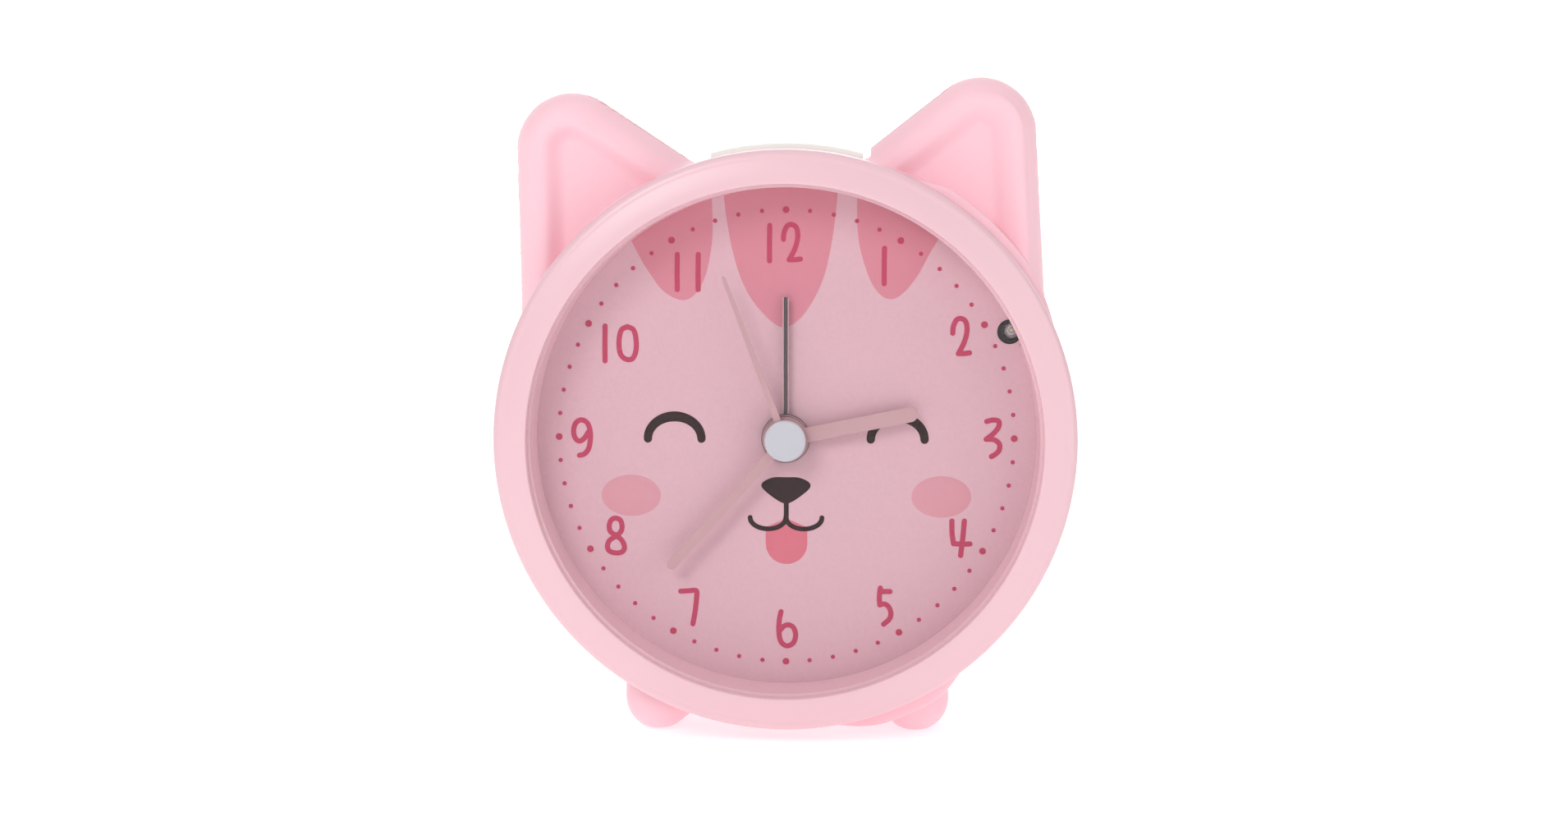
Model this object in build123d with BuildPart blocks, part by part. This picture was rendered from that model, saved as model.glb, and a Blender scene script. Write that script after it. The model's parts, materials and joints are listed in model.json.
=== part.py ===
"""A cat-faced desk alarm clock with a quartz movement, a night light and a soft silicone sleeve.

Row frame: +Z up, the dial faces -Y, the origin is on the table under the middle of the clock.
Depths are measured backwards (+Y) from the bezel's lip, in millimetres.
Places across the dial are (x, z) from the hand axis, as they look from the front.
"""

import math
import os

from build123d import *

os.makedirs("parts", exist_ok=True)

# ---- driving dimensions
bezel_radius = 58.0
bezel_skirt_end = 9.0  # depth where the bezel's outer skirt ends
bezel_skirt_wall = 2.3
bezel_web = 2.2
bezel_inner_wall = 1.6
bezel_crown_drop = 1.1  # how far the face falls from lip to outer edge
bezel_edge_round = 1.8

bezel_face = 6.9  # from the lens to the bezel's outer edge
lens_thick = 1.5
lens_depth = 0.5  # the glass sits this far under the lip
lens_ledge = 0.6
lens_play = 0.1
hand_room = 9.0  # from the lens to the dial
wall_draft = 0.35  # the bezel's inner wall closes in by this much

dial_thick = 0.5
carrier_thick = 1.8
module_thick = 18.1
module_tail_room = 2.3
rear_wall = 2.0

shell_wall = 2.0
shell_edge_round = 3.0
part_gap = 0.1  # ordinary assembly clearance
run_gap = 0.06  # radial clearance of a turning fit

sleeve_thick = 1.7
sleeve_flange_reach = 5.4  # how far the sleeve wraps onto the back
sleeve_edge_round = 4.0

ear_tip_radius = 11.2
ear_height = 14.8  # from the sleeve's barrel out to the tip arc's centre
ear_tip_angle = 34.7  # from straight up
ear_outer_root_angle = 68.5
ear_inner_root_angle = 17.0
ear_root_round = 1.0
ear_turn = 2.2  # the soft ears lean a little, both the same way
ear_front = 11.5
ear_thick = 14.0
ear_edge_round = 4.5
ear_border = 6.8
ear_recess = 2.4

foot_radius = 6.8
foot_offset = 26.3
foot_sink = 3.0  # how far a foot's middle lies inside the sleeve's barrel
foot_front = 17.0  # depth of the front ball's centre
foot_back_margin = 5.9  # from the rear ball's centre to the sleeve's back
sole_cut = 0.4

# hands
alarm_hand_length = 28.5
alarm_hand_width = 1.15
hour_hand_length = 26.9
hour_hand_width = 3.0
minute_hand_length = 35.2
minute_hand_width = 2.1
second_hand_length = 35.0
second_hand_root_width = 1.5
second_hand_tip_width = 0.7
hand_thick = 0.5
alarm_hub_radius = 4.9
hour_hub_radius = 4.5
minute_hub_radius = 4.3
second_hub_radius = 3.0
cap_radius = 4.15
cap_height = 1.1
alarm_hand_angle = 0.0  # clockwise from 12
hour_hand_angle = 78.5
minute_hand_angle = 222.0
second_hand_angle = 339.3
alarm_hand_lift = 1.2  # height of each hand above the dial
hour_hand_lift = 2.3
minute_hand_lift = 3.4
second_hand_lift = 4.5

# night light
led_margin = 1.0  # from the light's hole centre out to the bezel's inner wall
led_place_angle = 25.7  # above the 3 o'clock line
led_radius = 1.5
led_flange_radius = 1.9
led_flange_thick = 1.0
led_length = 4.8  # from the flange's back to the tip of the dome
led_rise = 1.1  # the light's dome stands this far off the dial
led_hole_radius = 2.5
led_notch_radius = 3.2
led_notch_start = 3.0
led_offset = 0.5  # the light leans to the outer side of its hole
led_run_direction = 205.0  # the way its wires leave
lead_radius = 0.25
lead_spacing = 1.9
lead_length = 1.5
lead_reach = 1.0  # sideways, from a lead's root to where its wire's insulation starts

# snooze bar and its switch
bar_half_width = 15.2
bar_depth_start = 14.0
bar_depth_end = 25.0
bar_rise = 1.5  # above the sleeve
bar_wall = 1.4
bar_leg_foot = 47.5  # height of the legs' lower ends above the hand axis
bar_travel = 0.5
bar_hook = 1.0
slot_gap = 0.3
board_height = 41.0
board_thick = 1.0
board_half_width = 11.0
board_start = 15.0
rail_thick = 2.0  # of the ledge and rails that hold the board
switch_size = 6.0
switch_height = 3.5
plunger_radius = 1.7
plunger_height = 1.1

# movement
module_half_width = 26.5
module_top = 26.0
module_bottom = 21.0
module_wall = 1.2
plate_thick = 1.6
mid_plate_thick = 1.0
peg_inset = 3.2  # pegs and screws from the movement's sides
peg_radius = 0.8
set_offset = 15.0  # from the hand axis to each setting arbor
set_angle = 30.0  # below the 3 and 9 o'clock lines
set_arbor_radius = 1.2
pivot_radius = 0.5
gear_thick = 1.0
train_gear_thick = 0.7

bushing_radius = 4.0
bushing_rise = 0.8
alarm_pipe_radius = 3.0
hour_pipe_radius = 2.1
minute_pipe_radius = 1.2
second_arbor_radius = 0.5

# back of the case
knob_radius = 6.5
knob_height = 7.0
knob_standoff = 0.6
knob_flutes = 20
knob_flute_radius = 0.55
cell_radius = 7.15
cell_length = 49.5
cell_nub_radius = 2.7
cell_nub_length = 1.0
bay_drop = 30.5  # battery axis below the hand axis
bay_half_length = 28.5
bay_wall = 1.2
contact_thick = 0.4
tab_half_width = 2.0
tab_depth = 15.2  # the contacts' tabs end here, in front of the bay
door_thick = 1.6
door_lip = 1.0
door_gap = 0.25
buzzer_place = (-39.0, 10.0)
buzzer_radius = 9.5
buzzer_thick = 3.0
switch_place = (0.0, 32.0)
alarm_switch_travel = 4.0
alarm_switch_width = 5.0

screw_circle = 46.0
screw_angles = (52.0, 128.0, 205.0, 335.0)
screw_head_radius = 2.3
screw_head_thick = 1.8
screw_shank_radius = 1.2
screw_length = 10.0
well_wall = 0.9
well_floor = 2.0
well_floor_depth = 24.0

led_wire_radius = 0.75

# ---- what follows from them
lens_radius = bezel_radius - bezel_face
lens_back = lens_depth + lens_thick
dial_depth = lens_back + hand_room
dial_back = dial_depth + dial_thick
carrier_back = dial_back + carrier_thick
module_front = carrier_back
module_back = module_front + module_thick
rear_inside = module_back + module_tail_room
rear_face = rear_inside + rear_wall
knob_front = rear_face + knob_standoff
knob_back = knob_front + knob_height

front_y = -knob_back / 2

skirt_inner_radius = bezel_radius - bezel_skirt_wall
shell_front = bezel_web + 1.0  # the shell's rim seats on the bezel's web
shell_radius = skirt_inner_radius - part_gap
shell_inner_radius = shell_radius - shell_wall
sleeve_inner_radius = shell_radius + part_gap
sleeve_radius = sleeve_inner_radius + sleeve_thick
sleeve_front = bezel_skirt_end + part_gap
sleeve_back = rear_face + sleeve_thick
sleeve_opening = sleeve_radius - sleeve_thick - sleeve_flange_reach
ear_tip_distance = sleeve_radius + ear_height
foot_drop = sleeve_radius - foot_sink  # below the hand axis
foot_back = sleeve_back - foot_back_margin
axis_z = foot_drop + foot_radius - sole_cut
carrier_radius = shell_inner_radius - part_gap
lens_pocket_radius = lens_radius + lens_play
wall_top_radius = lens_pocket_radius - lens_ledge
wall_end_radius = wall_top_radius - wall_draft

led_place_radius = wall_top_radius - led_margin
led_tip_depth = dial_depth - led_rise
led_place = (
    led_place_radius * math.cos(math.radians(led_place_angle)),
    led_place_radius * math.sin(math.radians(led_place_angle)),
)
led_flange_back = led_tip_depth + led_length

led_centre = (
    (led_place_radius + led_offset) * math.cos(math.radians(led_place_angle)),
    (led_place_radius + led_offset) * math.sin(math.radians(led_place_angle)),
)

# Layers of the movement, front to back. Each entry is the depth of a layer's front face.
plate_back = module_front + plate_thick
alarm_layer = plate_back + 0.4
hour_layer = alarm_layer + gear_thick + 0.4
minute_layer = hour_layer + gear_thick + 0.4
mid_plate_front = minute_layer + gear_thick + 0.6
mid_plate_back = mid_plate_front + mid_plate_thick
centre_layer = mid_plate_back + 0.5
third_layer = centre_layer + train_gear_thick + 0.5
second_layer = third_layer + train_gear_thick + 0.5
fifth_layer = second_layer + train_gear_thick + 0.5
rotor_layer = fifth_layer + train_gear_thick + 0.5
housing_floor = module_back - module_wall

# Teeth, and modules that follow from the centre distances.
rotor_teeth = 12
fifth_teeth = 60
fifth_pinion_teeth = 10
second_teeth = 60
second_pinion_teeth = 8
third_teeth = 60
third_pinion_teeth = 8
centre_teeth = 64
cannon_teeth = 12
minute_teeth = 36
minute_pinion_teeth = 10
hour_teeth = 40
alarm_teeth = 45
alarm_pinion_teeth = 15
fifth_distance = 10.5
third_distance = 10.2
rotor_distance = 9.0
fifth_direction = 60.0
third_direction = 150.0
rotor_direction = 10.0  # seen from the fifth wheel


def polar(distance, angle, centre=(0.0, 0.0)):
    """The point at a distance and angle (degrees, from +x towards +z) from a centre."""
    a = math.radians(angle)
    return (centre[0] + distance * math.cos(a), centre[1] + distance * math.sin(a))


fifth_place = polar(fifth_distance, fifth_direction)
third_place = polar(third_distance, third_direction)
rotor_place = polar(rotor_distance, rotor_direction, fifth_place)
time_set_place = polar(set_offset, -set_angle)
alarm_set_place = polar(set_offset, 180 + set_angle)
knob_places = (time_set_place, alarm_set_place)


def meshed_phase(direction, phase, teeth, other_teeth):
    """The angle of one tooth of a gear that meshes with another.

    direction points from the first gear to its mate, phase is the angle of one of the first gear's
    teeth, and the mate gets a gap where the first has a tooth.
    """
    return direction + 180 - (phase - direction) * teeth / other_teeth + 180 / other_teeth


def facing(depth):
    """The plane parallel to the dial at a depth, with x to the right and y up, seen from the front."""
    return Plane(origin=(0, front_y + depth, axis_z), x_dir=(1, 0, 0), z_dir=(0, -1, 0))


turning = Plane(origin=(0, front_y, axis_z), x_dir=(1, 0, 0), z_dir=(0, 0, 1))  # x radius, y depth
hand_axis = Axis((0, front_y, axis_z), (0, 1, 0))


def post(start, end, radius, at=(0.0, 0.0), mode=Mode.ADD):
    """A round post along the depth, between two depths."""
    with Locations(facing((start + end) / 2).location * Location((at[0], at[1], 0))):
        Cylinder(radius, end - start, mode=mode)


def block(start, end, low, high, mode=Mode.ADD):
    """A box between two depths and two opposite (x, z) corners."""
    centre = Location(((low[0] + high[0]) / 2, (low[1] + high[1]) / 2, 0))
    with Locations(facing((start + end) / 2).location * centre):
        Box(high[0] - low[0], high[1] - low[1], end - start, mode=mode)


def gear_outline(teeth, module, phase, at=(0.0, 0.0)):
    """The points round a gear: four to a tooth, a straight flank from root to tip on each side."""
    pitch = teeth * module / 2
    root = pitch - 1.2 * module
    tip = pitch + 0.85 * module
    step = 360 / teeth
    flank = ((root, 0.31), (pitch, 0.21), (tip, 0.09))
    points = []
    for n in range(teeth):
        middle = phase + n * step
        for radius, share in flank:
            points.append(polar(radius, middle - share * step, at))
        for radius, share in reversed(flank):
            points.append(polar(radius, middle + share * step, at))
    return points


def finish(part, name):
    """Labels a finished piece and writes it as parts/name.step."""
    part.label = name
    export_step(part, f"parts/{name}.step")


# ---- bezel: pressed over the shell's rim
crest_radius = lens_pocket_radius + lens_depth
crown_edge_radius = bezel_radius - bezel_edge_round
with BuildPart() as bezel:
    with BuildSketch(turning):
        with BuildLine():
            Polyline(
                (crest_radius, 0),
                (lens_pocket_radius, lens_depth),
                (lens_pocket_radius, lens_back),
                (wall_top_radius, lens_back),
                (wall_end_radius, dial_depth),
                (wall_end_radius + bezel_inner_wall, dial_depth),
                (lens_pocket_radius + bezel_inner_wall, bezel_web + 1.0),
                (skirt_inner_radius, bezel_web + 1.0),
                (skirt_inner_radius, bezel_skirt_end),
                (bezel_radius, bezel_skirt_end),
                (bezel_radius, bezel_crown_drop + bezel_edge_round),
            )
            ThreePointArc(
                (bezel_radius, bezel_crown_drop + bezel_edge_round),
                (
                    crown_edge_radius + bezel_edge_round * math.sin(math.pi / 4),
                    bezel_crown_drop + bezel_edge_round * (1 - math.cos(math.pi / 4)),
                ),
                (crown_edge_radius, bezel_crown_drop),
            )
            ThreePointArc(
                (crown_edge_radius, bezel_crown_drop),
                ((crest_radius + crown_edge_radius) / 2, bezel_crown_drop * 0.3),
                (crest_radius, 0),
            )
        make_face()
    revolve(axis=hand_axis)
    post(led_notch_start, dial_depth + 1, led_notch_radius, led_place, Mode.SUBTRACT)
finish(bezel.part, "bezel")

# ---- lens: glued on the bezel's ledge
with BuildPart() as lens:
    post(lens_depth, lens_back, lens_radius)
    chamfer(lens.faces().sort_by(Axis.Y)[0].edges(), 0.2)
finish(lens.part, "lens")

# ---- dial card
with BuildPart() as dial:
    post(dial_depth, dial_back, carrier_radius - part_gap)
    post(dial_depth - 1, dial_back + 1, bushing_radius + part_gap, mode=Mode.SUBTRACT)
    post(dial_depth - 1, dial_back + 1, led_hole_radius, led_place, Mode.SUBTRACT)
finish(dial.part, "dial")

# ---- dial carrier: holds dial, movement and light
screw_places = [polar(screw_circle, a) for a in screw_angles]
boss_end = well_floor_depth - well_floor
peg_heights = (module_top - peg_inset, peg_inset - module_bottom)
peg_places = [(side * (module_half_width - peg_inset), z) for side in (-1, 1) for z in peg_heights]
with BuildPart() as dial_carrier:
    post(dial_back, carrier_back, carrier_radius)
    for place in screw_places:
        post(carrier_back, boss_end, 2.8, place)
        post(carrier_back, boss_end + 1, screw_shank_radius + run_gap, place, Mode.SUBTRACT)
    post(dial_back - 1, carrier_back + 1, bushing_radius + part_gap, mode=Mode.SUBTRACT)
    post(dial_back - 1, carrier_back + 1, led_hole_radius + 0.7, led_place, Mode.SUBTRACT)
    for place in peg_places:
            post(dial_back + 0.6, carrier_back + 1, peg_radius, place, Mode.SUBTRACT)
    shelf_low = (-board_half_width, board_height - rail_thick - part_gap)
    block(carrier_back, board_start + 2, shelf_low, (board_half_width, board_height - part_gap))
    # half ring that grips the light's flange
    cradle_radius = led_flange_radius + 1.5
    post(dial_back + 0.3, led_flange_back + 0.5, cradle_radius, led_centre)
    post(dial_back, led_flange_back + 1, led_flange_radius, led_centre, Mode.SUBTRACT)
    with BuildSketch(facing(led_flange_back + 1)):
        with Locations(Location((led_place[0], led_place[1], 0), (0, 0, led_run_direction))):
            with Locations((cradle_radius, 0)):
                Rectangle(2 * cradle_radius - 0.6, 4 * cradle_radius)
    extrude(amount=led_flange_back + 1 - carrier_back, mode=Mode.SUBTRACT)
finish(dial_carrier.part, "dial_carrier")

# ---- rear shell
well_radius = screw_head_radius + 0.3
slot_half_width = bar_half_width + slot_gap
bay_low = (-bay_half_length, -bay_drop - cell_radius - 1.0)
bay_high = (bay_half_length, -bay_drop + cell_radius + 1.0)
bay_floor = rear_inside - 2 * cell_radius - 0.6
door_low = (-bay_half_length - door_lip, bay_low[1] - door_lip)
door_high = (bay_half_length + door_lip, bay_high[1] + door_lip)
with BuildPart() as rear_shell:
    with BuildSketch(turning):
        with BuildLine():
            Polyline(
                (shell_inner_radius, shell_front),
                (shell_radius, shell_front),
                (shell_radius, rear_face - shell_edge_round),
            )
            ThreePointArc(
                (shell_radius, rear_face - shell_edge_round),
                (
                    shell_radius - shell_edge_round * (1 - math.sin(math.pi / 4)),
                    rear_face - shell_edge_round * (1 - math.cos(math.pi / 4)),
                ),
                (shell_radius - shell_edge_round, rear_face),
            )
            Polyline(
                (shell_radius - shell_edge_round, rear_face),
                (0, rear_face),
                (0, rear_inside),
                (shell_inner_radius - 1, rear_inside),
                (shell_inner_radius, rear_inside - 1),
                (shell_inner_radius, shell_front),
            )
        make_face()
    revolve(axis=hand_axis)
    # battery bay, open to the back
    block(
        bay_floor - bay_wall,
        rear_face,
        (bay_low[0] - bay_wall, bay_low[1] - bay_wall),
        (bay_high[0] + bay_wall, bay_high[1] + bay_wall),
    )
    block(bay_floor, rear_face + 1, bay_low, bay_high, Mode.SUBTRACT)
    block(
        rear_face - door_thick,
        rear_face + 1,
        (door_low[0] - door_gap, door_low[1] - door_gap),
        (door_high[0] + door_gap, door_high[1] + door_gap),
        Mode.SUBTRACT,
    )
    for side in (-1, 1):
        ends = sorted((side * bay_half_length, side * (bay_half_length - contact_thick - part_gap)))
        tab_reach = tab_half_width + part_gap
        tab_low = (ends[0], -bay_drop - tab_reach)
        tab_high = (ends[1], tab_reach - bay_drop)
        block(bay_floor - bay_wall - 1, bay_floor + 1, tab_low, tab_high, Mode.SUBTRACT)
    # screw wells
    for place in screw_places:
        post(well_floor_depth - well_floor, rear_face, well_radius + well_wall, place)
        post(well_floor_depth, rear_face + 1, well_radius, place, Mode.SUBTRACT)
        post(well_floor_depth - well_floor - 1, rear_face, screw_shank_radius + 0.2, place, Mode.SUBTRACT)
    # knob arbors, alarm switch slot, buzzer seat and its grille
    for place in knob_places:
        post(rear_inside - 1, rear_face + 1, set_arbor_radius + 0.4, place, Mode.SUBTRACT)
    switch_half = (alarm_switch_width + alarm_switch_travel) / 2
    block(
        rear_inside - 1,
        rear_face + 1,
        (switch_place[0] - switch_half, switch_place[1] - 1.7),
        (switch_place[0] + switch_half, switch_place[1] + 1.7),
        Mode.SUBTRACT,
    )
    post(rear_inside - buzzer_thick, rear_inside, buzzer_radius + part_gap + 1.2, buzzer_place)
    post(rear_inside - buzzer_thick - 1, rear_inside, buzzer_radius + part_gap, buzzer_place, Mode.SUBTRACT)
    post(rear_inside - 1, rear_face + 1, 1.0, buzzer_place, Mode.SUBTRACT)
    for ring, count in ((3.2, 6), (6.2, 12)):
        for n in range(count):
            hole = polar(ring, n * 360 / count, buzzer_place)
            post(rear_inside - 1, rear_face + 1, 0.8, hole, Mode.SUBTRACT)
    # rails for the light board's rear edge
    lower_rail = (board_height - rail_thick - part_gap, board_height - part_gap)
    upper_rail = (board_height + board_thick + part_gap, board_height + board_thick + 1.6)
    for low, high in (lower_rail, upper_rail):
        block(rear_inside - 5, rear_inside, (-board_half_width, low), (board_half_width, high))
    # slot for the snooze bar
    block(
        bar_depth_start - slot_gap,
        bar_depth_end + slot_gap,
        (-slot_half_width, bar_leg_foot),
        (slot_half_width, shell_radius + 1),
        Mode.SUBTRACT,
    )
finish(rear_shell.part, "rear_shell")

# ---- sleeve: soft silicone, moulded with ears and feet
def on_ear_rim(edge, side):
    """Whether an edge runs round the front or back face of the ear on one side."""
    middle = edge.center()
    depth = middle.Y - front_y
    on_face = min(abs(depth - ear_front), abs(depth - ear_front - ear_thick)) < 0.01
    reach = math.hypot(middle.X, middle.Z - axis_z)
    above = middle.Z > axis_z + sleeve_radius * 0.4
    return on_face and above and middle.X * side > 0 and reach > sleeve_radius + 2


with BuildPart() as sleeve:
    with BuildSketch(turning):
        with BuildLine():
            Polyline(
                (0, sleeve_front),
                (sleeve_radius, sleeve_front),
                (sleeve_radius, sleeve_back - sleeve_edge_round),
            )
            ThreePointArc(
                (sleeve_radius, sleeve_back - sleeve_edge_round),
                (
                    sleeve_radius - sleeve_edge_round * (1 - math.sin(math.pi / 4)),
                    sleeve_back - sleeve_edge_round * (1 - math.cos(math.pi / 4)),
                ),
                (sleeve_radius - sleeve_edge_round, sleeve_back),
            )
            Polyline((sleeve_radius - sleeve_edge_round, sleeve_back), (0, sleeve_back), (0, sleeve_front))
        make_face()
    revolve(axis=hand_axis)
    for side in (1, -1):
        tip = polar(ear_tip_distance, 90 - side * ear_tip_angle + ear_turn)
        outer = polar(sleeve_radius - ear_root_round, 90 - side * ear_outer_root_angle + ear_turn)
        inner = polar(sleeve_radius - ear_root_round, 90 - side * ear_inner_root_angle + ear_turn)
        with BuildSketch(facing(ear_front + ear_thick)):
            with Locations(tip):
                Circle(ear_tip_radius)
            with Locations(outer, inner):
                Circle(ear_root_round)
            make_hull()
        extrude(amount=ear_thick)
        fillet(sleeve.edges().filter_by(lambda edge, s=side: on_ear_rim(edge, s)), ear_edge_round)
        with BuildSketch(facing(ear_front)):
            with Locations(tip):
                Circle(ear_tip_radius - ear_border)
            recess_outer = polar(sleeve_radius + 2, 90 - side * (ear_outer_root_angle - 10) + ear_turn)
            recess_inner = polar(sleeve_radius + 2, 90 - side * (ear_inner_root_angle + 12) + ear_turn)
            with Locations(recess_outer, recess_inner):
                Circle(ear_root_round)
            make_hull()
        extrude(amount=-ear_recess, taper=30, mode=Mode.SUBTRACT)
    for side in (1, -1):
        foot = (side * foot_offset, -foot_drop)
        post(foot_front, foot_back, foot_radius, foot)
        for depth in (foot_front, foot_back):
            with Locations(facing(depth).location * Location((foot[0], foot[1], 0))):
                Sphere(foot_radius)
    # soles cut flat at the table, and the hollow that takes the shell
    with Locations((0, 0, -5)):
        Box(200, 200, 10, mode=Mode.SUBTRACT)
    with BuildSketch(turning):
        with BuildLine():
            Polyline(
                (0, 0),
                (sleeve_inner_radius, 0),
                (sleeve_inner_radius, rear_face - shell_edge_round),
            )
            ThreePointArc(
                (sleeve_inner_radius, rear_face - shell_edge_round),
                (
                    sleeve_inner_radius - shell_edge_round * (1 - math.sin(math.pi / 4)),
                    rear_face + part_gap - shell_edge_round * (1 - math.cos(math.pi / 4)),
                ),
                (sleeve_inner_radius - shell_edge_round, rear_face + part_gap),
            )
            Polyline(
                (sleeve_inner_radius - shell_edge_round, rear_face + part_gap),
                (sleeve_opening, rear_face + part_gap),
                (sleeve_opening, sleeve_back + 1),
                (0, sleeve_back + 1),
                (0, 0),
            )
        make_face()
    revolve(axis=hand_axis, mode=Mode.SUBTRACT)
    sleeve_slot = slot_half_width + 0.3
    block(
        bar_depth_start - slot_gap - 0.3,
        bar_depth_end + slot_gap + 0.3,
        (-sleeve_slot, bar_leg_foot),
        (sleeve_slot, bezel_radius),
        Mode.SUBTRACT,
    )
finish(sleeve.part, "sleeve")

# ---- snooze bar and the switch under it
bar_top_radius = sleeve_radius + bar_rise
bar_middle_depth = (bar_depth_start + bar_depth_end) / 2
bar_half_depth = (bar_depth_end - bar_depth_start) / 2
board_top = board_height + board_thick
plunger_top = board_top + switch_height + plunger_height
hook_reach = bar_half_width + bar_hook
hook_top = math.sqrt(shell_inner_radius**2 - hook_reach**2) - slot_gap
with BuildPart() as snooze_bar:
    with BuildSketch(facing(bar_depth_end)):
        Circle(bar_top_radius)
        with Locations((0, -bar_top_radius + (hook_top - 1.2))):
            Rectangle(4 * bar_top_radius, 2 * bar_top_radius, mode=Mode.SUBTRACT)
        with Locations((0, bar_top_radius)):
            Rectangle(2 * bar_half_width, 2 * bar_top_radius, mode=Mode.INTERSECT)
    extrude(amount=2 * bar_half_depth)
    fillet(snooze_bar.edges().filter_by(GeomType.CIRCLE), 1.0)
    with BuildSketch(facing(bar_depth_end - bar_wall)):
        Circle(bar_top_radius - bar_wall)
        with Locations((0, bar_top_radius)):
            Rectangle(2 * (bar_half_width - bar_wall), 2 * bar_top_radius, mode=Mode.INTERSECT)
    extrude(amount=2 * (bar_half_depth - bar_wall), mode=Mode.SUBTRACT)
    for side in (-1, 1):
        ends = sorted((side * (bar_half_width - bar_wall), side * hook_reach))
        block(bar_depth_start + 2, bar_depth_end - 2, (ends[0], hook_top - 1.2), (ends[1], hook_top))
    rod_top = bar_top_radius - bar_wall / 2
    with Locations((0, front_y + bar_middle_depth, axis_z + (plunger_top + rod_top) / 2)):
        Cylinder(plunger_radius, rod_top - plunger_top - 0.02)
finish(snooze_bar.part, "snooze_bar")

board_end = rear_inside - part_gap
with BuildPart() as light_board:
    board_half = board_half_width - part_gap
    block(board_start, board_end, (-board_half, board_height), (board_half, board_top))
finish(light_board.part, "light_board")

with BuildPart() as snooze_switch:
    with Locations((0, front_y + bar_middle_depth, axis_z + board_top + switch_height / 2)):
        Box(switch_size, switch_size, switch_height)
        chamfer(snooze_switch.edges().filter_by(Axis.Z), 0.5)
    with Locations((0, front_y + bar_middle_depth, axis_z + board_top + switch_height)):
        Cylinder(plunger_radius + run_gap, 2 * bar_travel + 1.0, mode=Mode.SUBTRACT)
finish(snooze_switch.part, "snooze_switch")

with BuildPart() as switch_plunger:
    with Locations((0, front_y + bar_middle_depth, axis_z + plunger_top - 0.02 - plunger_height / 2)):
        Cylinder(plunger_radius, plunger_height)
finish(switch_plunger.part, "switch_plunger")

# ---- night light and its leads
with BuildPart() as led:
    post(led_flange_back - led_flange_thick, led_flange_back, led_flange_radius, led_centre)
    post(led_tip_depth + led_radius, led_flange_back, led_radius, led_centre)
    with Locations(facing(led_tip_depth + led_radius).location * Location((*led_centre, 0))):
        Sphere(led_radius)
finish(led.part, "led")


def in_case(x, z, depth):
    """A point given across and up from the hand axis and back from the lip."""
    return (x, front_y + depth, axis_z + z)


def wire(points, radii, radius):
    """A round wire along straight runs joined by arcs."""
    with BuildLine() as path:
        FilletPolyline(*[in_case(*p) for p in points], radius=radii)
    with BuildSketch(Plane(origin=path.line @ 0, z_dir=path.line % 0)) as section:
        Circle(radius)
    sweep(sections=section.sketch, path=path.line)


lead_depth = led_flange_back + lead_length
lead_starts = [polar(side * lead_spacing / 2, led_run_direction - 90, led_centre) for side in (1, -1)]
lead_ends = [polar(lead_reach, led_run_direction, start) for start in lead_starts]
with BuildPart() as led_leads:
    for start, end in zip(lead_starts, lead_ends):
        wire([(*start, led_flange_back), (*start, lead_depth), (*end, lead_depth)], 0.5, lead_radius)
finish(led_leads.part, "led_leads")

led_run_ends = [polar(6.5, led_run_direction, start) for start in lead_starts]
led_wire_routes = {
    "led_wire_red": [
        (34.0, 25.5, 18.5),
        (27.0, board_height - 11.0, 20.5),
        (17.0, board_height - 9.0, 20.5),
        (8.5, board_height - 7.0, 20.5),
        (8.5, board_height, 20.5),
    ],
    "led_wire_black": [
        (36.0, 22.0, 19.5),
        (29.5, board_height - 12.0, 23.5),
        (18.0, board_height - 7.0, 23.5),
        (8.5, board_height - 5.0, 24.0),
        (8.5, board_height, 24.0),
    ],
}
for start, run_end, (name, route) in zip(lead_ends, led_run_ends, led_wire_routes.items()):
    with BuildPart() as led_wire:
        wire([(*start, lead_depth), (*run_end, lead_depth), *route], [3.0, 6.0, 6.0, 8.0, 2.5], led_wire_radius)
    finish(led_wire.part, name)

# ---- movement: plates and housing
module_low = (-module_half_width, -module_bottom)
module_high = (module_half_width, module_top)
plate_inset = module_wall + 0.2
plate_low = (module_low[0] + plate_inset, module_low[1] + plate_inset)
plate_high = (module_high[0] - plate_inset, module_high[1] - plate_inset)
module_screw_radius = 0.8
module_screw_head = 1.6
train_places = (fifth_place, third_place)
wire_depth = 24.3  # where wires enter the movement's top wall
wire_x = -12.6
with BuildPart() as movement_front_plate:
    block(module_front, plate_back, module_low, module_high)
    post(dial_depth - bushing_rise, plate_back, bushing_radius)
    for place in peg_places:
        post(dial_back + 1.0, module_front, peg_radius - part_gap, place)
        post(plate_back, mid_plate_front, 1.9, place)
        post(plate_back - 1.0, mid_plate_front + 1, module_screw_radius, place, Mode.SUBTRACT)
    post(dial_depth - bushing_rise - 1, plate_back + 1, alarm_pipe_radius + run_gap, mode=Mode.SUBTRACT)
    for place in knob_places:
        post(plate_back - 0.9, plate_back + 1, set_arbor_radius + run_gap, place, Mode.SUBTRACT)
finish(movement_front_plate.part, "movement_front_plate")

hub_radius = 2.0
rotor_arbor_radius = 0.4
with BuildPart() as movement_mid_plate:
    block(mid_plate_front, mid_plate_back, plate_low, plate_high)
    post(mid_plate_front - 1, mid_plate_back + 1, hub_radius + run_gap, mode=Mode.SUBTRACT)
    for place in peg_places:
        post(mid_plate_front - 1, mid_plate_back + 1, module_screw_radius + part_gap, place, Mode.SUBTRACT)
    for place in train_places:
        post(mid_plate_front - 1, mid_plate_back + 1, pivot_radius + run_gap, place, Mode.SUBTRACT)
    post(mid_plate_front - 1, mid_plate_back + 1, rotor_arbor_radius + run_gap, rotor_place, Mode.SUBTRACT)
    for place in knob_places:
        post(mid_plate_front - 1, mid_plate_back + 1, set_arbor_radius + run_gap, place, Mode.SUBTRACT)
finish(movement_mid_plate.part, "movement_mid_plate")

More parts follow.
